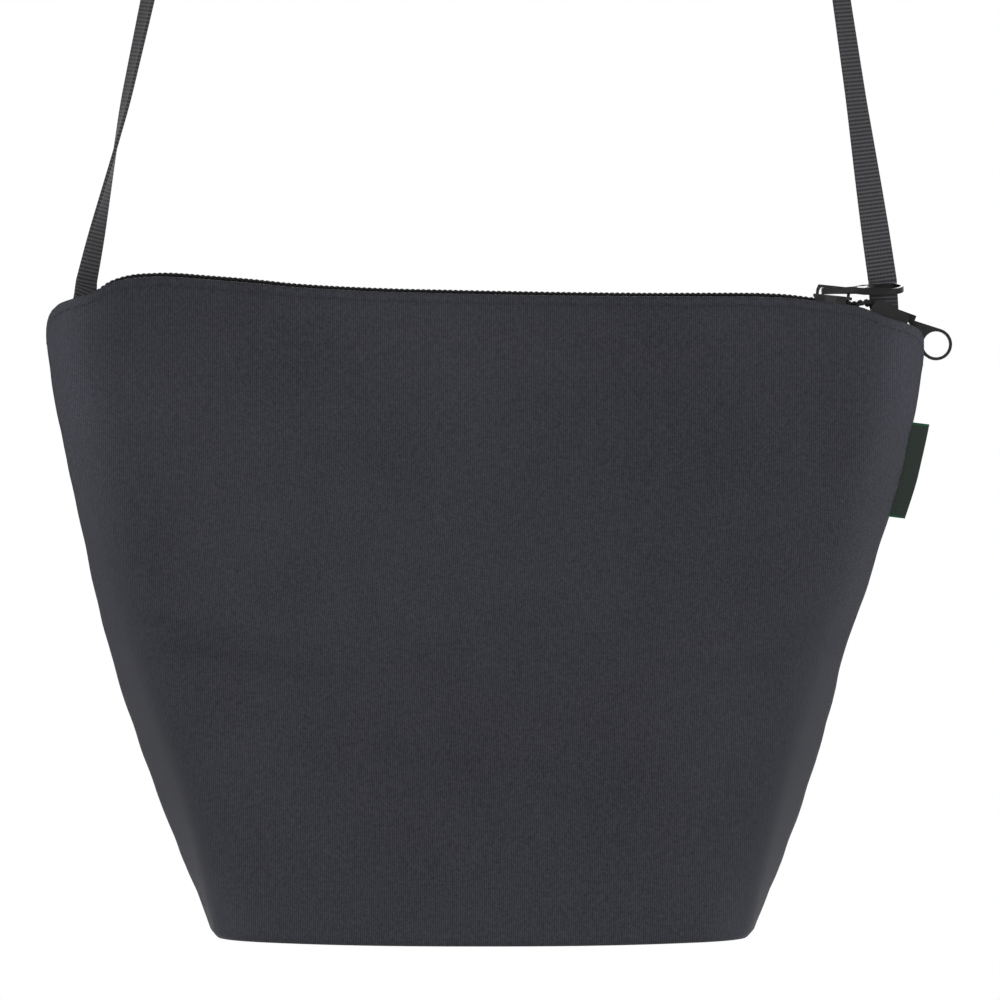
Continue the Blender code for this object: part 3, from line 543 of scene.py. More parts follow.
def cloth_material(name, color, rib, thread, share, depth, groove_shading=0.3, blotches=0.12, specks=0.2,
                   roughness=0.62, sheen=0.12, sheen_roughness=0.45, specular=0.02, stagger=1):
    """A woven material: pitches in millimetres, relief in metres, and a colour or its maker."""
    mat, tree, shader = bare_material(name)
    if tree is None:
        return mat
    height = add_group(tree, "Ribbed weave", Rib_Pitch=rib, Thread_Pitch=thread,
                       Thread_Share=share, Stagger=stagger)["Height"]
    tone = add_group(tree, "Cloth tone", Color=color(tree) if callable(color) else (*color, 1),
                     Height=height, Gap_Depth=groove_shading, Blotches=blotches, Specks=specks)
    rough = calc("ADD", tone["Roughness Shift"], roughness, clamp=True)
    feed(shader, Base_Color=tone["Color"], Roughness=rough, Normal=bump(height, depth),
         Sheen_Weight=sheen, Sheen_Roughness=sheen_roughness, Specular_IOR_Level=specular)
    return mat


def thread_material(look):
    return cloth_material("thread", look.thread_color, 0.3, 0.3, 0.5, 0.02 * MM, roughness=0.5)


def lacquer_material(name, color, rubbed, roughness, amount, depth, specular):
    """A hard coat, rubbed here and there to a paler colour."""
    mat, tree, shader = bare_material(name)
    if tree is not None:
        wear = add_group(tree, "Lacquer wear", Color=(*color, 1), Rubbed_Color=(*rubbed, 1),
                         Amount=amount, Roughness=roughness)
        feed(shader, Base_Color=wear["Color"], Roughness=wear["Roughness"],
             Normal=bump(wear["Height"], depth), Specular_IOR_Level=specular)
    return mat


# The bag's shape

def half_width(z):
    widening = eased(WIDE_SHARES, z / CORNER_HEIGHT, 0.012)
    return BASE_WIDTH / 2 + (TOP_WIDTH - BASE_WIDTH) / 2 * widening


def sway(z):
    """How far the hanging bag stands to the left at a height."""
    return Vector((-SWAY * eased(SWAY_SHARES, z / CORNER_HEIGHT, 0.03), 0, 0))


def half_depth(z):
    narrowing = math.cos(math.pi / 2 * min(z / CORNER_HEIGHT, 1) ** TAPER_POWER) ** 2
    return MOUTH_DEPTH / 2 + (BASE_DEPTH - MOUTH_DEPTH) / 2 * narrowing


def base_inset(z):
    if z >= BASE_ROUND:
        return 0
    return BASE_ROUND - math.sqrt(BASE_ROUND ** 2 - (BASE_ROUND - z) ** 2)


def quarter(z):
    """Points of the section at height z from the side seam to the middle of a face."""
    inset = base_inset(z)
    wide = half_width(min(z, CORNER_HEIGHT)) - inset * SIDE_ROUND_SHARE
    deep = half_depth(z) - inset
    fold = wide - SIDE_FOLD * eased(FOLD_SHARES, z / CORNER_HEIGHT, 0.05)
    seam, corner = Vector((wide, SEAM_HALF)), Vector((fold, deep))
    soft = min(FOLD_SOFTNESS, (corner - seam).length * FOLD_REACH_SHARE)
    start = corner + (seam - corner).normalized() * soft
    end = corner - Vector((soft, 0))
    points = [seam.lerp(start, k / SIDE_STEPS) for k in range(SIDE_STEPS)]
    for k in range(FOLD_STEPS):
        t = k / FOLD_STEPS
        points.append(start * (1 - t) ** 2 + corner * 2 * t * (1 - t) + end * t ** 2)
    points += [end.lerp(Vector((0, end.y)), k / FRONT_STEPS) for k in range(FRONT_STEPS + 1)]
    return points


def crease(x, z, face):
    """Depth of the soft creases at a place on a face."""
    depth = 0
    for (x0, z0), (x1, z1), wide, deep, side in CREASES:
        if side != face:
            continue
        start = Vector((x0, z0)) * MM
        run = Vector((x1, z1)) * MM - start
        reach = Vector((x, z)) - start
        t = reach.dot(run) / run.length_squared
        away = (reach - run * min(max(t, 0), 1)).length
        fade = smooth(min(t, 1 - t) * 3 + 0.4)
        depth -= deep * MM * math.exp(-(away / (wide * MM)) ** 2) * fade
    return depth


def slack(x, z, arc, wide, face, amount):
    """How far the cloth stands out at a place: soft waves, creases and puckers at the seam."""
    spot = Vector((x * WAVES_ACROSS, face * 3.1, z * WAVES_UP))
    waves = noise.noise(spot) * WAVE_DEPTH + noise.noise(spot * 2.7) * RIPPLE_DEPTH
    away = wide - arc
    near = math.exp(-away / PUCKER_REACH)
    pucker = math.sin(z / PUCKER_PITCH + 2 * noise.noise(spot * 4)) * PUCKER_DEPTH * near
    groove = -GROOVE_DEPTH * math.exp(-(away / GROOVE_WIDTH) ** 2)
    body = smooth(z / CALM_LOW) * smooth((CALM_TOP - z) / CALM_HIGH)
    return amount * ((waves + crease(x, z, face)) * body * (1 - near) + pucker) + groove


def panel_rows(face, amount):
    """Rows of points and UVs of one face of the bag, from under the base to inside the hem."""

    def section(z):
        ease = 1 + EDGE_EASE / half_width(z)
        half = [(p.x * ease, face * p.y) for p in quarter(z)]
        return [(-x, y) for x, y in half] + half[-2::-1]

    count = len(quarter(0)) * 2 - 1
    table = FRONT_TOP_SHARES if face < 0 else BACK_TOP_SHARES
    widest = half_width(CORNER_HEIGHT) + EDGE_EASE
    sharp = [BODY_HEIGHT * between(table, x / widest) for x, _ in section(CORNER_HEIGHT)]
    tops = list(sharp)
    for k in range(1, count - 1):
        tops[k] = (sharp[k - 1] + 2 * sharp[k] + sharp[k + 1]) / 4
    heights = [[0] * count for _ in range(FLOOR_ROWS)]
    for k in range(BASE_ROWS):
        heights.append([BASE_ROUND * (1 - math.cos(math.pi / 2 * k / BASE_ROWS))] * count)
    for r in range(WALL_ROWS):
        heights.append([BASE_ROUND + (top - HEM_DEPTH - BASE_ROUND) * r / WALL_ROWS for top in tops])
    rows, uvs, cache = [], [], {}

    def at(k, z):
        key = round(z, 7)
        if key not in cache:
            cache[key] = section(z)
        return cache[key][k]

    def arcs(z):
        key = ("arc", round(z, 4))
        if key not in cache:
            run = lengths([Vector(p) for p in section(z)])
            cache[key] = [v - run[count // 2] for v in run]
        return cache[key]

    def normal(k, z):
        a, b = Vector(at(max(k - 1, 0), z)), Vector(at(min(k + 1, count - 1), z))
        run = (b - a).normalized()
        return Vector((run.y, -run.x, 0)) * -face

    for r, line in enumerate(heights):
        row, marks = [], []
        for k, z in enumerate(line):
            x, y = at(k, z)
            if r < FLOOR_ROWS:
                y *= (r + FLOOR_START) / FLOOR_ROWS
            reach = arcs(z)
            out = slack(x, z, abs(reach[k]), reach[-1], face, amount) if z > BASE_ROUND else 0
            lift = BASE_LIFT * abs(2 * x / BASE_WIDTH) ** 2.5 * smooth(1 - z / LIFT_HEIGHT)
            x *= half_width(z + lift) / half_width(z)
            row.append(Vector((x, y, z + lift)) + normal(k, z) * out + sway(z))
            marks.append((reach[k], z + (abs(y) if r < FLOOR_ROWS else BASE_DEPTH / 2)))
        rows.append(row)
        uvs.append(marks)
    for up, out in HEM_SECTION:
        row, marks = [], []
        for k, top in enumerate(tops):
            z = top + up * MM
            x, y = at(k, z)
            reach = arcs(top - HEM_DEPTH)
            away = reach[-1] - abs(reach[k])
            keep = out * smooth(away / HEM_FADE) if out > 0 else out
            inward = math.copysign(HEM_SEAM_IN, -x) if away < 0.1 * MM else 0
            row.append(Vector((x + inward, y, z)) + normal(k, z) * keep * MM + sway(z))
            marks.append((reach[k], BASE_DEPTH / 2 + z - min(out, 0) * MM))
        rows.append(row)
        uvs.append(marks)
    return rows, uvs


def painted_edge_sheen(p):
    """Painted sheen at a point: how much paler the cloth is made, most along its two side edges."""
    reach = max(half_width(p.z) - abs((p - sway(p.z)).x), 0)
    share = EDGE_SHEEN_LOW_SHARE + (1 - EDGE_SHEEN_LOW_SHARE) * smooth(p.z / BODY_HEIGHT * EDGE_SHEEN_RISE)
    return EDGE_SHEEN * share * math.exp(-(reach / EDGE_SHEEN_WIDTH) ** 2)


def make_panels(look):
    cloth = cloth_material("nylon", look.cloth_color, look.rib_pitch / MM, 0.5, 0.3, 0.12 * MM,
                           groove_shading=0.8, blotches=0.3, specks=1.0, roughness=look.cloth_roughness,
                           sheen=0.06)
    hem_lines = {}
    for node, face in (("front_panel", -1), ("back_panel", 1)):
        rows, uvs = panel_rows(face, look.slack)
        points = [p for row in rows for p in row]
        faces = grid_faces(len(rows), len(rows[0]))
        if face > 0:
            faces = [f[::-1] for f in faces]
        # The panels carry painted sheen along their side edges in the fade attribute.
        ob = new_object(node + "_cloth", points, faces, cloth, [m for row in uvs for m in row],
                        edge_sheens=[painted_edge_sheen(p) for p in points])
        shell = ob.modifiers.new("cloth", "SOLIDIFY")
        shell.thickness = CLOTH_THICK
        shell.offset = -1
        settled(ob, "nylon", node)
        hem_lines[face] = rows[FLOOR_ROWS + BASE_ROWS + WALL_ROWS + HEM_STITCH_ROW]
    make_hem_stitches(look, hem_lines)


# Stitching

def stitch_rows(name, lines, material, length, gap, radius):
    """Sewn stitches along lines of points, each a short plump thread with dipping ends."""
    points, faces = [], []
    profile = (
        (0, 0.35, -0.7), (0.15, 0.85, -0.1), (0.5, 1, 0.25), (0.85, 0.85, -0.1), (1, 0.35, -0.7),
    )
    for line, out in lines:
        run = lengths(line)
        at, k = gap, 0
        while at + length < run[-1]:
            rings = []
            for share, wide, rise in profile:
                s = at + length * share
                while k < len(run) - 2 and run[k + 1] < s:
                    k += 1
                t = (s - run[k]) / max(run[k + 1] - run[k], 1e-9)
                ahead = (line[k + 1] - line[k]).normalized()
                across = ahead.cross(out).normalized()
                middle = line[k].lerp(line[k + 1], t) + out * radius * rise
                rings.append([middle + (across * u + out * v) * radius * wide
                              for u, v in circle(6)])
            start = len(points)
            made, shapes = tube(rings)
            points += made
            faces += [[start + i for i in f] for f in shapes]
            at += length + gap
    return new_object(name, points, faces, material)


# The zip

ZIP_PLACES = [place_at(across, up) for across, up in ZIP_SHARES]
ZIP_RIGHT = ZIP_PLACES[-1]
RUN_DIRECTION = (ZIP_RIGHT - ZIP_PLACES[-3]).normalized()
FALL_DIRECTION = Vector((math.cos(RIGHT_TILT), 0, -math.sin(RIGHT_TILT)))
LEFT_SLIDER_AT = ZIP_RIGHT - RUN_DIRECTION * LEFT_SLIDER_BACK
RIGHT_SLIDER_AT = place_at(0.91809, 0.93363)
RIGHT_END = RIGHT_SLIDER_AT + FALL_DIRECTION * (SLIDER_LENGTH / 2 + RIGHT_TAIL)
RIGHT_START = RIGHT_SLIDER_AT - FALL_DIRECTION * SLIDER_LENGTH / 2


def zip_line():
    """Fine points along the middle of the zip from left to right, with its roll."""
    line = []
    for i in range(len(ZIP_PLACES) - 1):
        near, far = ZIP_PLACES[i], ZIP_PLACES[i + 1]
        before = ZIP_PLACES[max(i - 1, 0)]
        after = ZIP_PLACES[min(i + 2, len(ZIP_PLACES) - 1)]
        reach = (far - near).length / 3
        leave, arrive = (far - before).normalized(), (after - near).normalized()
        for k in range(6):
            line.append((bezier(near, near + leave * reach, far - arrive * reach, far, k / 6), 0))
    gap = (RIGHT_START - ZIP_RIGHT).length / 3
    before, after = ZIP_RIGHT + RUN_DIRECTION * gap, RIGHT_START - FALL_DIRECTION * gap
    for k in range(12):
        t = k / 12
        line.append((bezier(ZIP_RIGHT, before, after, RIGHT_START, t), -math.pi / 2 * smooth(t)))
    line += [(RIGHT_START.lerp(RIGHT_END, k / 8), -math.pi / 2) for k in range(9)]
    return line


LINE = zip_line()
LENGTHS = lengths([p for p, _ in LINE])
ZIP_LENGTH = LENGTHS[-1]


def zip_at(s):
    """Place on the zip at a length along it, and its directions: along, across and up."""
    s = min(max(s, 0), ZIP_LENGTH)
    k = 0
    while k < len(LENGTHS) - 2 and LENGTHS[k + 1] < s:
        k += 1
    (p, roll_p), (q, roll_q) = LINE[k], LINE[k + 1]
    t = (s - LENGTHS[k]) / (LENGTHS[k + 1] - LENGTHS[k])
    along, across = (q - p).normalized(), Vector((0, 1, 0))
    roll = Matrix.Rotation(roll_p + (roll_q - roll_p) * t, 3, along)
    return p.lerp(q, t), along, roll @ across, roll @ along.cross(across)


def nearest_s(point):
    best = min(range(len(LINE)), key=lambda k: (LINE[k][0] - point).length)
    return LENGTHS[best] + (point - LINE[best][0]).dot(zip_at(LENGTHS[best])[1])


LEFT_S = nearest_s(LEFT_SLIDER_AT)
RIGHT_S = nearest_s(RIGHT_SLIDER_AT)


def spread_at(s):
    half = SLIDER_LENGTH / 2
    start, full = SPREAD_START_SHARE * half, SPREAD_END_SHARE * half
    opening = (s - LEFT_S - start) / (full - start)
    closing = (RIGHT_S - start - s) / (full - start)
    return SPREAD * min(max(min(opening, closing), 0), 1)


def make_coils(look):
    """Each side of the zip as one flattened nylon coil wound round its cord, interlocked."""
    mat = lacquer_material("zip_coil", look.coil_color, (0.05, 0.05, 0.05), 0.45, amount=0.25,
                           depth=0.01 * MM, specular=0.1)
    wire = look.coil_wire / 2
    middle_out = (TOOTH_REACH - TOOTH_OVERLAP) / 2
    swing = (TOOTH_REACH + TOOTH_OVERLAP) / 2 - wire
    rise = TEETH_THICK / 2 - wire
    count = int((ZIP_LENGTH - 2 * TEETH_PITCH) / TEETH_PITCH)
    for node, face, offset in (("zip_teeth_front", -1, 0), ("zip_teeth_back", 1, 0.5)):
        path, leads = [], []
        for k in range(count * COIL_STEPS + 1):
            turn = k / COIL_STEPS
            angle = 2 * math.pi * turn
            s = TEETH_PITCH * (turn + 0.5 + offset)
            middle, along, side, top = zip_at(s)
            head = math.copysign(abs(math.cos(angle)) ** COIL_SQUARE, math.cos(angle))
            out = middle_out - swing * head + spread_at(s)
            path.append(middle + side * face * out + top * rise * math.sin(angle) * face)
            leads.append(along)
        rings = []
        for p, ahead, along in zip(path, directions(path), leads):
            first = (along - ahead * along.dot(ahead)).normalized()
            second = ahead.cross(first)
            rings.append([p + first * u * wire * COIL_FLAT + second * v * wire
                          for u, v in circle(COIL_SIDES)])
        points, faces = tube(rings)
        cord = []
        for k in range(count * 2 + 1):
            s = TEETH_PITCH * (k / 2 + 0.5 + offset)
            middle, _, side, top = zip_at(s)
            out = middle_out + CORD_OUT + spread_at(s)
            centre = middle + side * face * out - top * CORD_DROP
            cord.append([centre + (side * u + top * v) * CORD_RADIUS for u, v in circle(6)])
        more, shapes = tube(cord)
        faces += [[len(points) + i for i in f] for f in shapes]
        settled(new_object(node + "_coil", points + more, faces, mat), "zip_coil", node)


def make_tapes(look):
    """The woven tapes that carry the coils and turn down inside the panels."""
    tape = cloth_material("zip_tape", look.tape_color, 0.55, 0.4, 0.5, 0.05 * MM, groove_shading=0.4)
    roll_start, roll_end = nearest_s(ZIP_RIGHT), nearest_s(RIGHT_START)
    taper_start = LEFT_S - SLIDER_LENGTH / 2 - TAPE_TAPER
    for node, face in (("zip_tape_front", -1), ("zip_tape_back", 1)):
        rings, uvs = [], []
        for k in range(TAPE_STEPS + 1):
            s = ZIP_LENGTH * k / TAPE_STEPS
            middle, _, side, top = zip_at(s)
            rolling = (s - roll_start) / (roll_end - roll_start)
            out = TAPE_WALL + (TAPE_TAIL - TAPE_WALL) * smooth(rolling)
            sag = ROLL_CLEAR * math.sin(math.pi * min(max(rolling, 0), 1))
            level = -TEETH_THICK / 2 - TAPE_CLEAR - sag
            ended = smooth((s - taper_start) / TAPE_TAPER)
            drop = TAPE_DROP + (TAPE_THICK * TAPE_HEM - TAPE_DROP) * ended
            inner = TAPE_INNER + spread_at(s)
            outer, under, bend = out + TAPE_THICK, level - TAPE_THICK, min(TAPE_BEND, drop / 2)
            section = [(inner, level - TAPE_THICK / 2), (inner + TAPE_EDGE, level)]
            section += [(inner + (out - inner) * t, level) for t in (0.3, 0.6, 0.85)]
            section += [(outer - TAPE_EDGE, level - bend * 0.3), (outer, level - bend)]
            section += [(outer, level - drop), (out, level - drop), (out, under)]
            section += [(inner + (out - inner) / 2, under), (inner + TAPE_EDGE, under)]
            rings.append([middle + side * face * x + top * z for x, z in section])
            uvs += [(x - z, s) for x, z in section]
        settled(new_object(node + "_weave", *tube(rings), tape, uvs), "zip_tape", node)


# The strap

def half_strap(foot, lean, table, top):
    """Points up one side of the strap with the turn of its width, from its sewn foot."""
    low, twisted = STRAP_FOOT_TOP - STRAP_FOOT, foot.z + TWIST_HEIGHT
    steps = int((top - foot).length / STRAP_STEP)
    heights = [low + STRAP_FOOT * k / FOOT_STEPS for k in range(FOOT_STEPS)]
    heights += [STRAP_FOOT_TOP + (foot.z - STRAP_FOOT_TOP) * k / BEND_STEPS
                for k in range(BEND_STEPS)]
    heights += [foot.z + (top.z - foot.z) * (k / steps) ** STEP_GROWTH for k in range(steps + 1)]
    points = []
    for z in heights:
        rise = max(z, STRAP_FOOT_TOP) - foot.z
        at = foot + lean * (rise * (FOOT_LEAN_SHARE if rise < 0 else 1) / lean.z)
        at.z = z
        soft = TWIST_SOFT * smooth((z - STRAP_FOOT_TOP) / TWIST_SOFT_HEIGHT)
        turn = eased(table, (z - foot.z) / TWIST_HEIGHT, soft)
        if z > twisted:
            turn = table[-1][1] + (90 - table[-1][1]) * smooth((z - twisted) / (top.z - twisted))
        at.y = strap_back(z, top.z)
        points.append((at, math.radians(turn)))
    return points


def strap_back(z, top_z):
    """How far behind the bag's middle plane the strap runs at a height."""
    seat = STRAP_SEAT + STRAP_THICK / 2
    foot_back = MOUTH_DEPTH / 2 + seat
    if z <= STRAP_FOOT_TOP:
        return max(half_depth(z) + seat, foot_back)
    rising = smooth((z - STRAP_FOOT_TOP) / (STRAP_MEASURE - STRAP_FOOT_TOP))
    back = foot_back + (STRAP_BACK - foot_back) * rising
    twisted = STRAP_MEASURE + TWIST_HEIGHT
    return back * (1 - smooth((z - twisted) / (top_z - twisted)))


def strap_line():
    """Points along the whole strap with the turn of its width, from left foot to right foot."""
    left, right = [place_at(across, up) for across, up in STRAP_FEET]
    rise = (right.x - left.x) / (LEAN_LEFT_SHARE + LEAN_RIGHT_SHARE)
    meet = left + Vector((LEAN_LEFT_SHARE * rise, 0, rise))
    up_left = Vector((LEAN_LEFT_SHARE, 0, 1)).normalized()
    up_right = Vector((-LEAN_RIGHT_SHARE, 0, 1)).normalized()
    half_angle = up_left.angle(up_right) / 2
    tangent = HOOK_RADIUS / math.tan(half_angle)
    middle = meet - (up_left + up_right).normalized() * HOOK_RADIUS / math.sin(half_angle)
    sides = [half_strap(foot, lean, table, meet - lean * tangent)
             for foot, lean, table in ((left, up_left, LEFT_TWIST), (right, up_right, RIGHT_TWIST))]
    start = sides[0][-1][0] - middle
    start.y = 0
    sweep = math.pi - 2 * half_angle
    line = list(sides[0])
    for k in range(1, HOOK_STEPS):
        turn = Matrix.Rotation(sweep * k / HOOK_STEPS, 3, "Y")
        line.append((middle + turn @ start, math.pi / 2))
    return line + sides[1][::-1]


def make_strap(look):
    """Flat ribbed webbing with rounded selvedges, twisted as it hangs, and its sewn feet."""
    web = cloth_material("webbing", look.strap_color, 1.1, look.strap_rib / MM, 0.86, 0.3 * MM,
                         groove_shading=1.2, blotches=0.1, specks=0.4, roughness=0.6, sheen=0.2, stagger=0)
    half, thick = STRAP_WIDTH / 2, STRAP_THICK / 2
    edge = [(0.4, 0.8), (0.78, 0.86), (0.86, 1), (0.93, 0.95), (0.99, 0.55)]
    upper = [(-1, 0)] + [(-x, y) for x, y in edge[::-1]] + [(0, 0.8)] + edge
    section = upper + [(-x, -y) for x, y in upper]
    line = strap_line()
    places = [at for at, _ in line]
    rings, uvs = [], []
    for (at, turn), ahead, run in zip(line, directions(places), lengths(places)):
        flat = Vector((math.cos(turn), math.sin(turn), 0))
        wide = (flat - ahead * flat.dot(ahead)).normalized()
        out = ahead.cross(wide)
        rings.append([at + wide * half * x + out * thick * y for x, y in section])
        uvs += [(half * x, run) for x, _ in section]
    settled(new_object("strap_webbing", *tube(rings), web, uvs), "webbing", "strap")
    bottom, top = STRAP_FOOT_TOP - STRAP_FOOT + STITCH_INSET, STRAP_FOOT_TOP - STITCH_INSET
    lines = []
    for across, up in STRAP_FEET:
        foot = place_at(across, up)
        lean = LEAN_LEFT_SHARE if across < 0 else -LEAN_RIGHT_SHARE
        x = foot.x + lean * FOOT_LEAN_SHARE * (STRAP_FOOT_TOP - foot.z)
        left, right = x - half + STITCH_INSET, x + half - STITCH_INSET
        corners = [(left, bottom), (right, bottom), (right, top), (left, top), (left, bottom),
                   (right, top), (left, top), (right, bottom)]
        for (x0, z0), (x1, z1) in zip(corners, corners[1:]):
            stops = [Vector((x0, 0, z0)).lerp(Vector((x1, 0, z1)), i / 8) for i in range(9)]
            for stop in stops:
                stop.y = strap_back(stop.z, 1) + thick * STITCH_SEAT
            lines.append((stops, Vector((0, 1, 0))))
    settled(stitch_rows("strap_stitches", lines, thread_material(look), *STRAP_STITCH), "webbing")


def make_hem_stitches(look, hem_lines):
    lines = []
    for face, line in hem_lines.items():
        out = Vector((0, face, 0))
        lines.append(([p + out * HEM_STITCH_OUT for p in line[SIDE_STEPS:-SIDE_STEPS]], out))
    settled(stitch_rows("hem_stitches", lines, thread_material(look), *HEM_STITCH), "nylon")


# The label and the bindings

def make_label(look):
    """A bare woven label folded double, with green thread along its two ends."""

    def colors(tree):
        middle = LABEL_HEIGHT / 2
        off_middle = calc("ABSOLUTE", calc("SUBTRACT", cloth_map(tree)[1], middle))
        ends = calc("GREATER_THAN", off_middle, middle - LABEL_ENDS)
        return mixed(ends, (*look.label_color, 1), (*look.label_edge, 1))

    mat = cloth_material("label", colors, 0.35, 0.3, 0.5, 0.05 * MM, groove_shading=0.5, blotches=0.15,
                         specks=0.3, roughness=0.5, sheen=0.05, sheen_roughness=0.5, specular=0.06)
    half = LABEL_THICK / 2
    rings, uvs = [], []
    for k in range(LABEL_STEPS + 1):
        t = k / LABEL_STEPS
        z = LABEL_LOW + LABEL_HEIGHT * t
        inner = half_width(z) - LABEL_IN
        outer = half_width(z) + LABEL_GAP + LABEL_OUT
        wave = LABEL_WAVE * math.sin(t * 5.2 + 0.6)
        edge = LABEL_EDGE_WAVE * math.sin(t * 3)
        section = [(inner, -0.5), (inner + (outer - inner) * 0.4, -0.62), (outer - 1.2 * MM, -0.75),
                   (outer - 0.4 * MM, -0.8), (outer - 0.08 * MM, -0.45), (outer, 0)]
        section += [(x, -y) for x, y in section[-2::-1]]
        ring = []
        for x, y in section:
            share = (x - inner) / (outer - inner)
            at = Vector((x + edge * share, half * y + wave * share, z - LABEL_DROOP * share))
            ring.append(at + sway(z))
            uvs.append((x - inner + (0.02 if y > 0 else 0), LABEL_HEIGHT * t))
        rings.append(ring)
    settled(new_object("side_label_weave", *tube(rings), mat, uvs), "label", "side_label")


def make_bindings(look):
    """Tape folded over the three seam allowances inside."""
    tape = cloth_material("binding", look.tape_color, 0.8, 0.5, 0.4, 0.06 * MM)
    half = BINDING_THICK / 2
    section = [(0, -0.7), (0.3, -0.95), (0.8, -1), (0.93, -0.8), (1, 0), (0.93, 0.8), (0.8, 1),
               (0.3, 0.95), (0, 0.7)]

    def bind(node, start, end, steps, spot, place):
        """Lays the tape from start to end, where spot gives the place of a point of its section."""
        runs = [start + (end - start) * k / steps for k in range(steps + 1)]
        rings = [[spot(run, t, half * y) for t, y in section] for run in runs]
        uvs = [(BINDING_WIDTH * t, run) for run in runs for t, _ in section]
        settled(new_object(node + "_tape", *tube(rings), tape, uvs, place), "binding", node)

    for node, side in (("seam_binding_left", -1), ("seam_binding_right", 1)):
        bind(node, BASE_ROUND * 2, CORNER_HEIGHT - TAPE_DROP, BINDING_STEPS, lambda z, t, y: Vector(
            (side * (half_width(z) - BINDING_IN - BINDING_WIDTH * t), y, z)) + sway(z), BAG)
    low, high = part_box("seam_binding_base")
    bind("seam_binding_base", low[0], high[0], BASE_BINDING_STEPS, lambda x, t, y: Vector(
        (x, y, low[2] + (high[2] - low[2]) * t)), Vector())


def make_sliders(look):
    """Black lacquer, a little rubbed, on the two sliders and their pulls."""
    mat = lacquer_material("slider_lacquer", look.metal_color, (0.06, 0.06, 0.062),
                           look.metal_roughness, amount=0.35, depth=0.02 * MM, specular=0.15)
    for node in ("left_slider_body", "left_pull", "right_slider_body", "right_pull"):
        ob = frame["nodes"][node]
        ob.data.materials.clear()
        ob.data.materials.append(mat)


# The stage

def seen_rays(tree):
    """One for the rays that reach the camera straight, off gloss or through glass, else nought."""
    rays = tree.nodes.new("ShaderNodeLightPath")
    gloss = calc("ADD", rays.outputs["Is Camera Ray"], rays.outputs["Is Glossy Ray"])
    return calc("ADD", gloss, rays.outputs["Is Transmission Ray"], clamp=True)


def make_world(scene, strength):
    world = bpy.data.worlds.new("studio")
    scene.world = world
    world.use_nodes = True
    tree = world.node_tree
    seen = seen_rays(tree)
    other = calc("MULTIPLY", calc("SUBTRACT", 1, seen), strength)
    feed(tree.nodes["Background"], Color=(1, 1, 1, 1), Strength=calc("ADD", seen, other))


def make_stage(stage):
    scene = bpy.context.scene
    scene.view_settings.view_transform = "Standard"
    make_world(scene, stage.world_strength)
    target = BAG + Vector((0, 0, BODY_HEIGHT / 2))
    for name, (place, size, share) in LIGHTS.items():
        light = bpy.data.lights.new(name, "AREA")
        light.shape = "RECTANGLE"
        light.size, light.size_y = size
        light.energy = stage.light_energy * share
        ob = bpy.data.objects.new(name, light)
        ob.location = target + Vector(place)
        ob.rotation_mode = "QUATERNION"
        ob.rotation_quaternion = (target - ob.location).to_track_quat("-Z", "Y")
        scene.collection.objects.link(ob)
    data = bpy.data.cameras.new("camera")
    data.lens, data.sensor_width = LENS, SENSOR
    camera = bpy.data.objects.new("camera", data)
    distance = VIEW_WIDTH * LENS / SENSOR
    camera.location = BAG + Vector((VIEW_CENTRE[0], VIEW_PLANE - distance, VIEW_CENTRE[1]))
    camera.rotation_euler = (math.pi / 2, 0, 0)
    data.clip_end = 100
    scene.collection.objects.link(camera)
    scene.camera = camera
    make_floor(BAG.z - stage.floor_drop)


def make_floor(level):
    rings = [[Vector((r * u, r * v, level)) for u, v in circle(FLOOR_SIDES)]
             for r in FLOOR_RADII]
    points, faces = tube(rings, closed_ends=False)
    faces.append(list(range(FLOOR_SIDES)))
    mat, tree, shader = bare_material("floor")
    tone = add_group(tree, "Cloth tone", Color=(0.85, 0.85, 0.85, 1), Gap_Depth=0,
                     Blotches=0.03, Specks=0.01)
    grain = bump(noise_at(object_place(tree), 200), 0.02 * MM)
    feed(shader, Base_Color=tone["Color"], Roughness=0.9, Normal=grain, Emission_Color=(1, 1, 1, 1),
         Emission_Strength=calc("MULTIPLY", seen_rays(tree), FLOOR_PALER))
    ob = new_object("floor", points, faces, mat, None, Vector())


# The add-on

def colour(name, description, default):
    return FloatVectorProperty(name=name, description=description, default=default, subtype="COLOR",
                               size=3, min=0, max=1)


def span(name, description, default, low, high):
    """A length, given in millimetres."""
    return FloatProperty(name=name, description=description, default=default * MM, min=low * MM,
                         max=high * MM, unit="LENGTH")


class BAG_PG_looks(PropertyGroup):
    """Colours and sizes of the bag's pieces."""
    cloth_color: colour("Nylon", "Colour of the nylon", (0.0324, 0.0331, 0.0398))
    cloth_roughness: FloatProperty(
        name="Nylon Roughness", description="How matte the nylon is", default=0.6, min=0, max=1,
        subtype="FACTOR")
    rib_pitch: span("Rib Pitch", "Distance between the ribs of the nylon", 0.7, 0.2, 5)
    slack: FloatProperty(
        name="Slack", description="How much the cloth waves, creases and puckers", default=1, min=0,
        max=3, subtype="FACTOR")
    strap_color: colour("Webbing", "Colour of the strap", (0.0575, 0.0558, 0.0612))
    strap_rib: span("Strap Rib", "Distance between the ribs across the strap", 1.3, 0.3, 5)
    tape_color: colour("Tapes", "Colour of the zip tapes and bindings", (0.02, 0.02, 0.023))
    coil_color: colour("Coil", "Colour of the zip's nylon coil", (0.012, 0.012, 0.013))
    coil_wire: span("Coil Wire", "Thickness of the coil's nylon wire", 0.76, 0.2, 2)
    metal_color: colour("Lacquer", "Colour of the sliders and pulls", (0.006, 0.006, 0.0062))
    metal_roughness: FloatProperty(
        name="Lacquer Roughness", description="How matte the sliders and pulls are", default=0.3,
        min=0, max=1, subtype="FACTOR")
    thread_color: colour("Thread", "Colour of the stitches", (0.028, 0.028, 0.032))
    label_color: colour("Label", "Colour of the side label", (0.019, 0.0255, 0.0215))
    label_edge: colour("Label Ends", "Colour of the label's woven ends", (0.012, 0.06, 0.03))


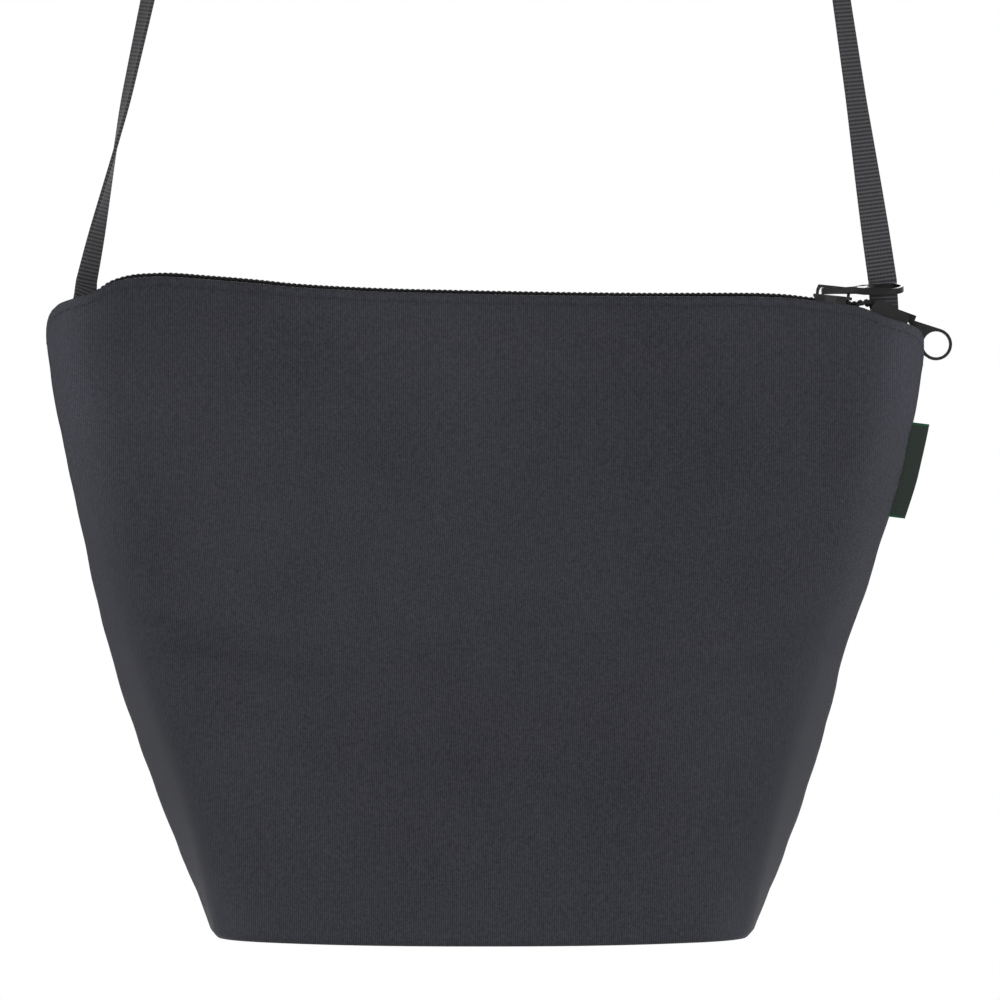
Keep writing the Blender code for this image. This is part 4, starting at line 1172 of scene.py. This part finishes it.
class BAG_PG_stage(PropertyGroup):
    """Light and surroundings."""
    light_energy: FloatProperty(
        name="Key Light", description="Power of the key light", default=23, min=0, unit="POWER")
    world_strength: FloatProperty(
        name="Sky", description="Strength of the light from all round", default=0.2, min=0)
    floor_drop: FloatProperty(
        name="Floor Below", description="Distance from the bag's base down to the floor",
        default=0.3, min=0.01, unit="LENGTH")


class PieceBuilder:
    """What the operators of the pieces share."""

    def execute(self, context):
        self.build(context.scene.bag_looks)
        return {"FINISHED"}


class BAG_OT_panels(PieceBuilder, Operator):
    """Builds the nylon front and back with their stitched hems"""
    bl_idname = "bag.panels"
    bl_label = "Nylon Panels"
    build = staticmethod(make_panels)


class BAG_OT_coils(PieceBuilder, Operator):
    """Builds the two nylon coils of the zip"""
    bl_idname = "bag.coils"
    bl_label = "Zip Coils"
    build = staticmethod(make_coils)


class BAG_OT_tapes(PieceBuilder, Operator):
    """Builds the two woven zip tapes"""
    bl_idname = "bag.tapes"
    bl_label = "Zip Tapes"
    build = staticmethod(make_tapes)


class BAG_OT_sliders(PieceBuilder, Operator):
    """Finishes the sliders and their ring pulls in black lacquer"""
    bl_idname = "bag.sliders"
    bl_label = "Sliders and Pulls"
    build = staticmethod(make_sliders)


class BAG_OT_strap(PieceBuilder, Operator):
    """Builds the webbing strap and the stitches of its feet"""
    bl_idname = "bag.strap"
    bl_label = "Webbing Strap"
    build = staticmethod(make_strap)


class BAG_OT_label(PieceBuilder, Operator):
    """Builds the folded side label"""
    bl_idname = "bag.label"
    bl_label = "Side Label"
    build = staticmethod(make_label)


class BAG_OT_bindings(PieceBuilder, Operator):
    """Builds the bindings of the seams inside"""
    bl_idname = "bag.bindings"
    bl_label = "Seam Bindings"
    build = staticmethod(make_bindings)


class BAG_OT_stage(Operator):
    """Sets up the camera, lights, surroundings and floor"""
    bl_idname = "bag.stage"
    bl_label = "Stage"

    def execute(self, context):
        make_stage(context.scene.bag_stage)
        return {"FINISHED"}


OPERATORS = (
    BAG_OT_panels, BAG_OT_coils, BAG_OT_tapes, BAG_OT_sliders, BAG_OT_strap, BAG_OT_label,
    BAG_OT_bindings, BAG_OT_stage,
)


class BAG_PT_sidebar(Panel):
    """Lists the bag's settings and the steps that build it"""
    bl_idname = "BAG_PT_sidebar"
    bl_label = "Shoulder Bag"
    bl_space_type = "VIEW_3D"
    bl_region_type = "UI"
    bl_category = "Shoulder Bag"

    def draw(self, context):
        for group in (context.scene.bag_looks, context.scene.bag_stage):
            column = self.layout.column()
            for name in group.bl_rna.properties.keys():
                if name not in ("rna_type", "name"):
                    column.prop(group, name)
        for operator in OPERATORS:
            self.layout.operator(operator.bl_idname)


CLASSES = (BAG_PG_looks, BAG_PG_stage) + OPERATORS + (BAG_PT_sidebar,)


def register():
    for cls in CLASSES:
        bpy.utils.register_class(cls)
    Scene.bag_looks = PointerProperty(type=BAG_PG_looks)
    Scene.bag_stage = PointerProperty(type=BAG_PG_stage)


def unregister():
    del Scene.bag_stage
    del Scene.bag_looks
    for cls in reversed(CLASSES):
        bpy.utils.unregister_class(cls)


def main():
    """Registers the add-on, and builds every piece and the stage."""
    register()
    bpy.ops.bag.panels()
    bpy.ops.bag.coils()
    bpy.ops.bag.tapes()
    bpy.ops.bag.sliders()
    bpy.ops.bag.strap()
    bpy.ops.bag.label()
    bpy.ops.bag.bindings()
    bpy.ops.bag.stage()


if __name__ == "__main__":
    main()
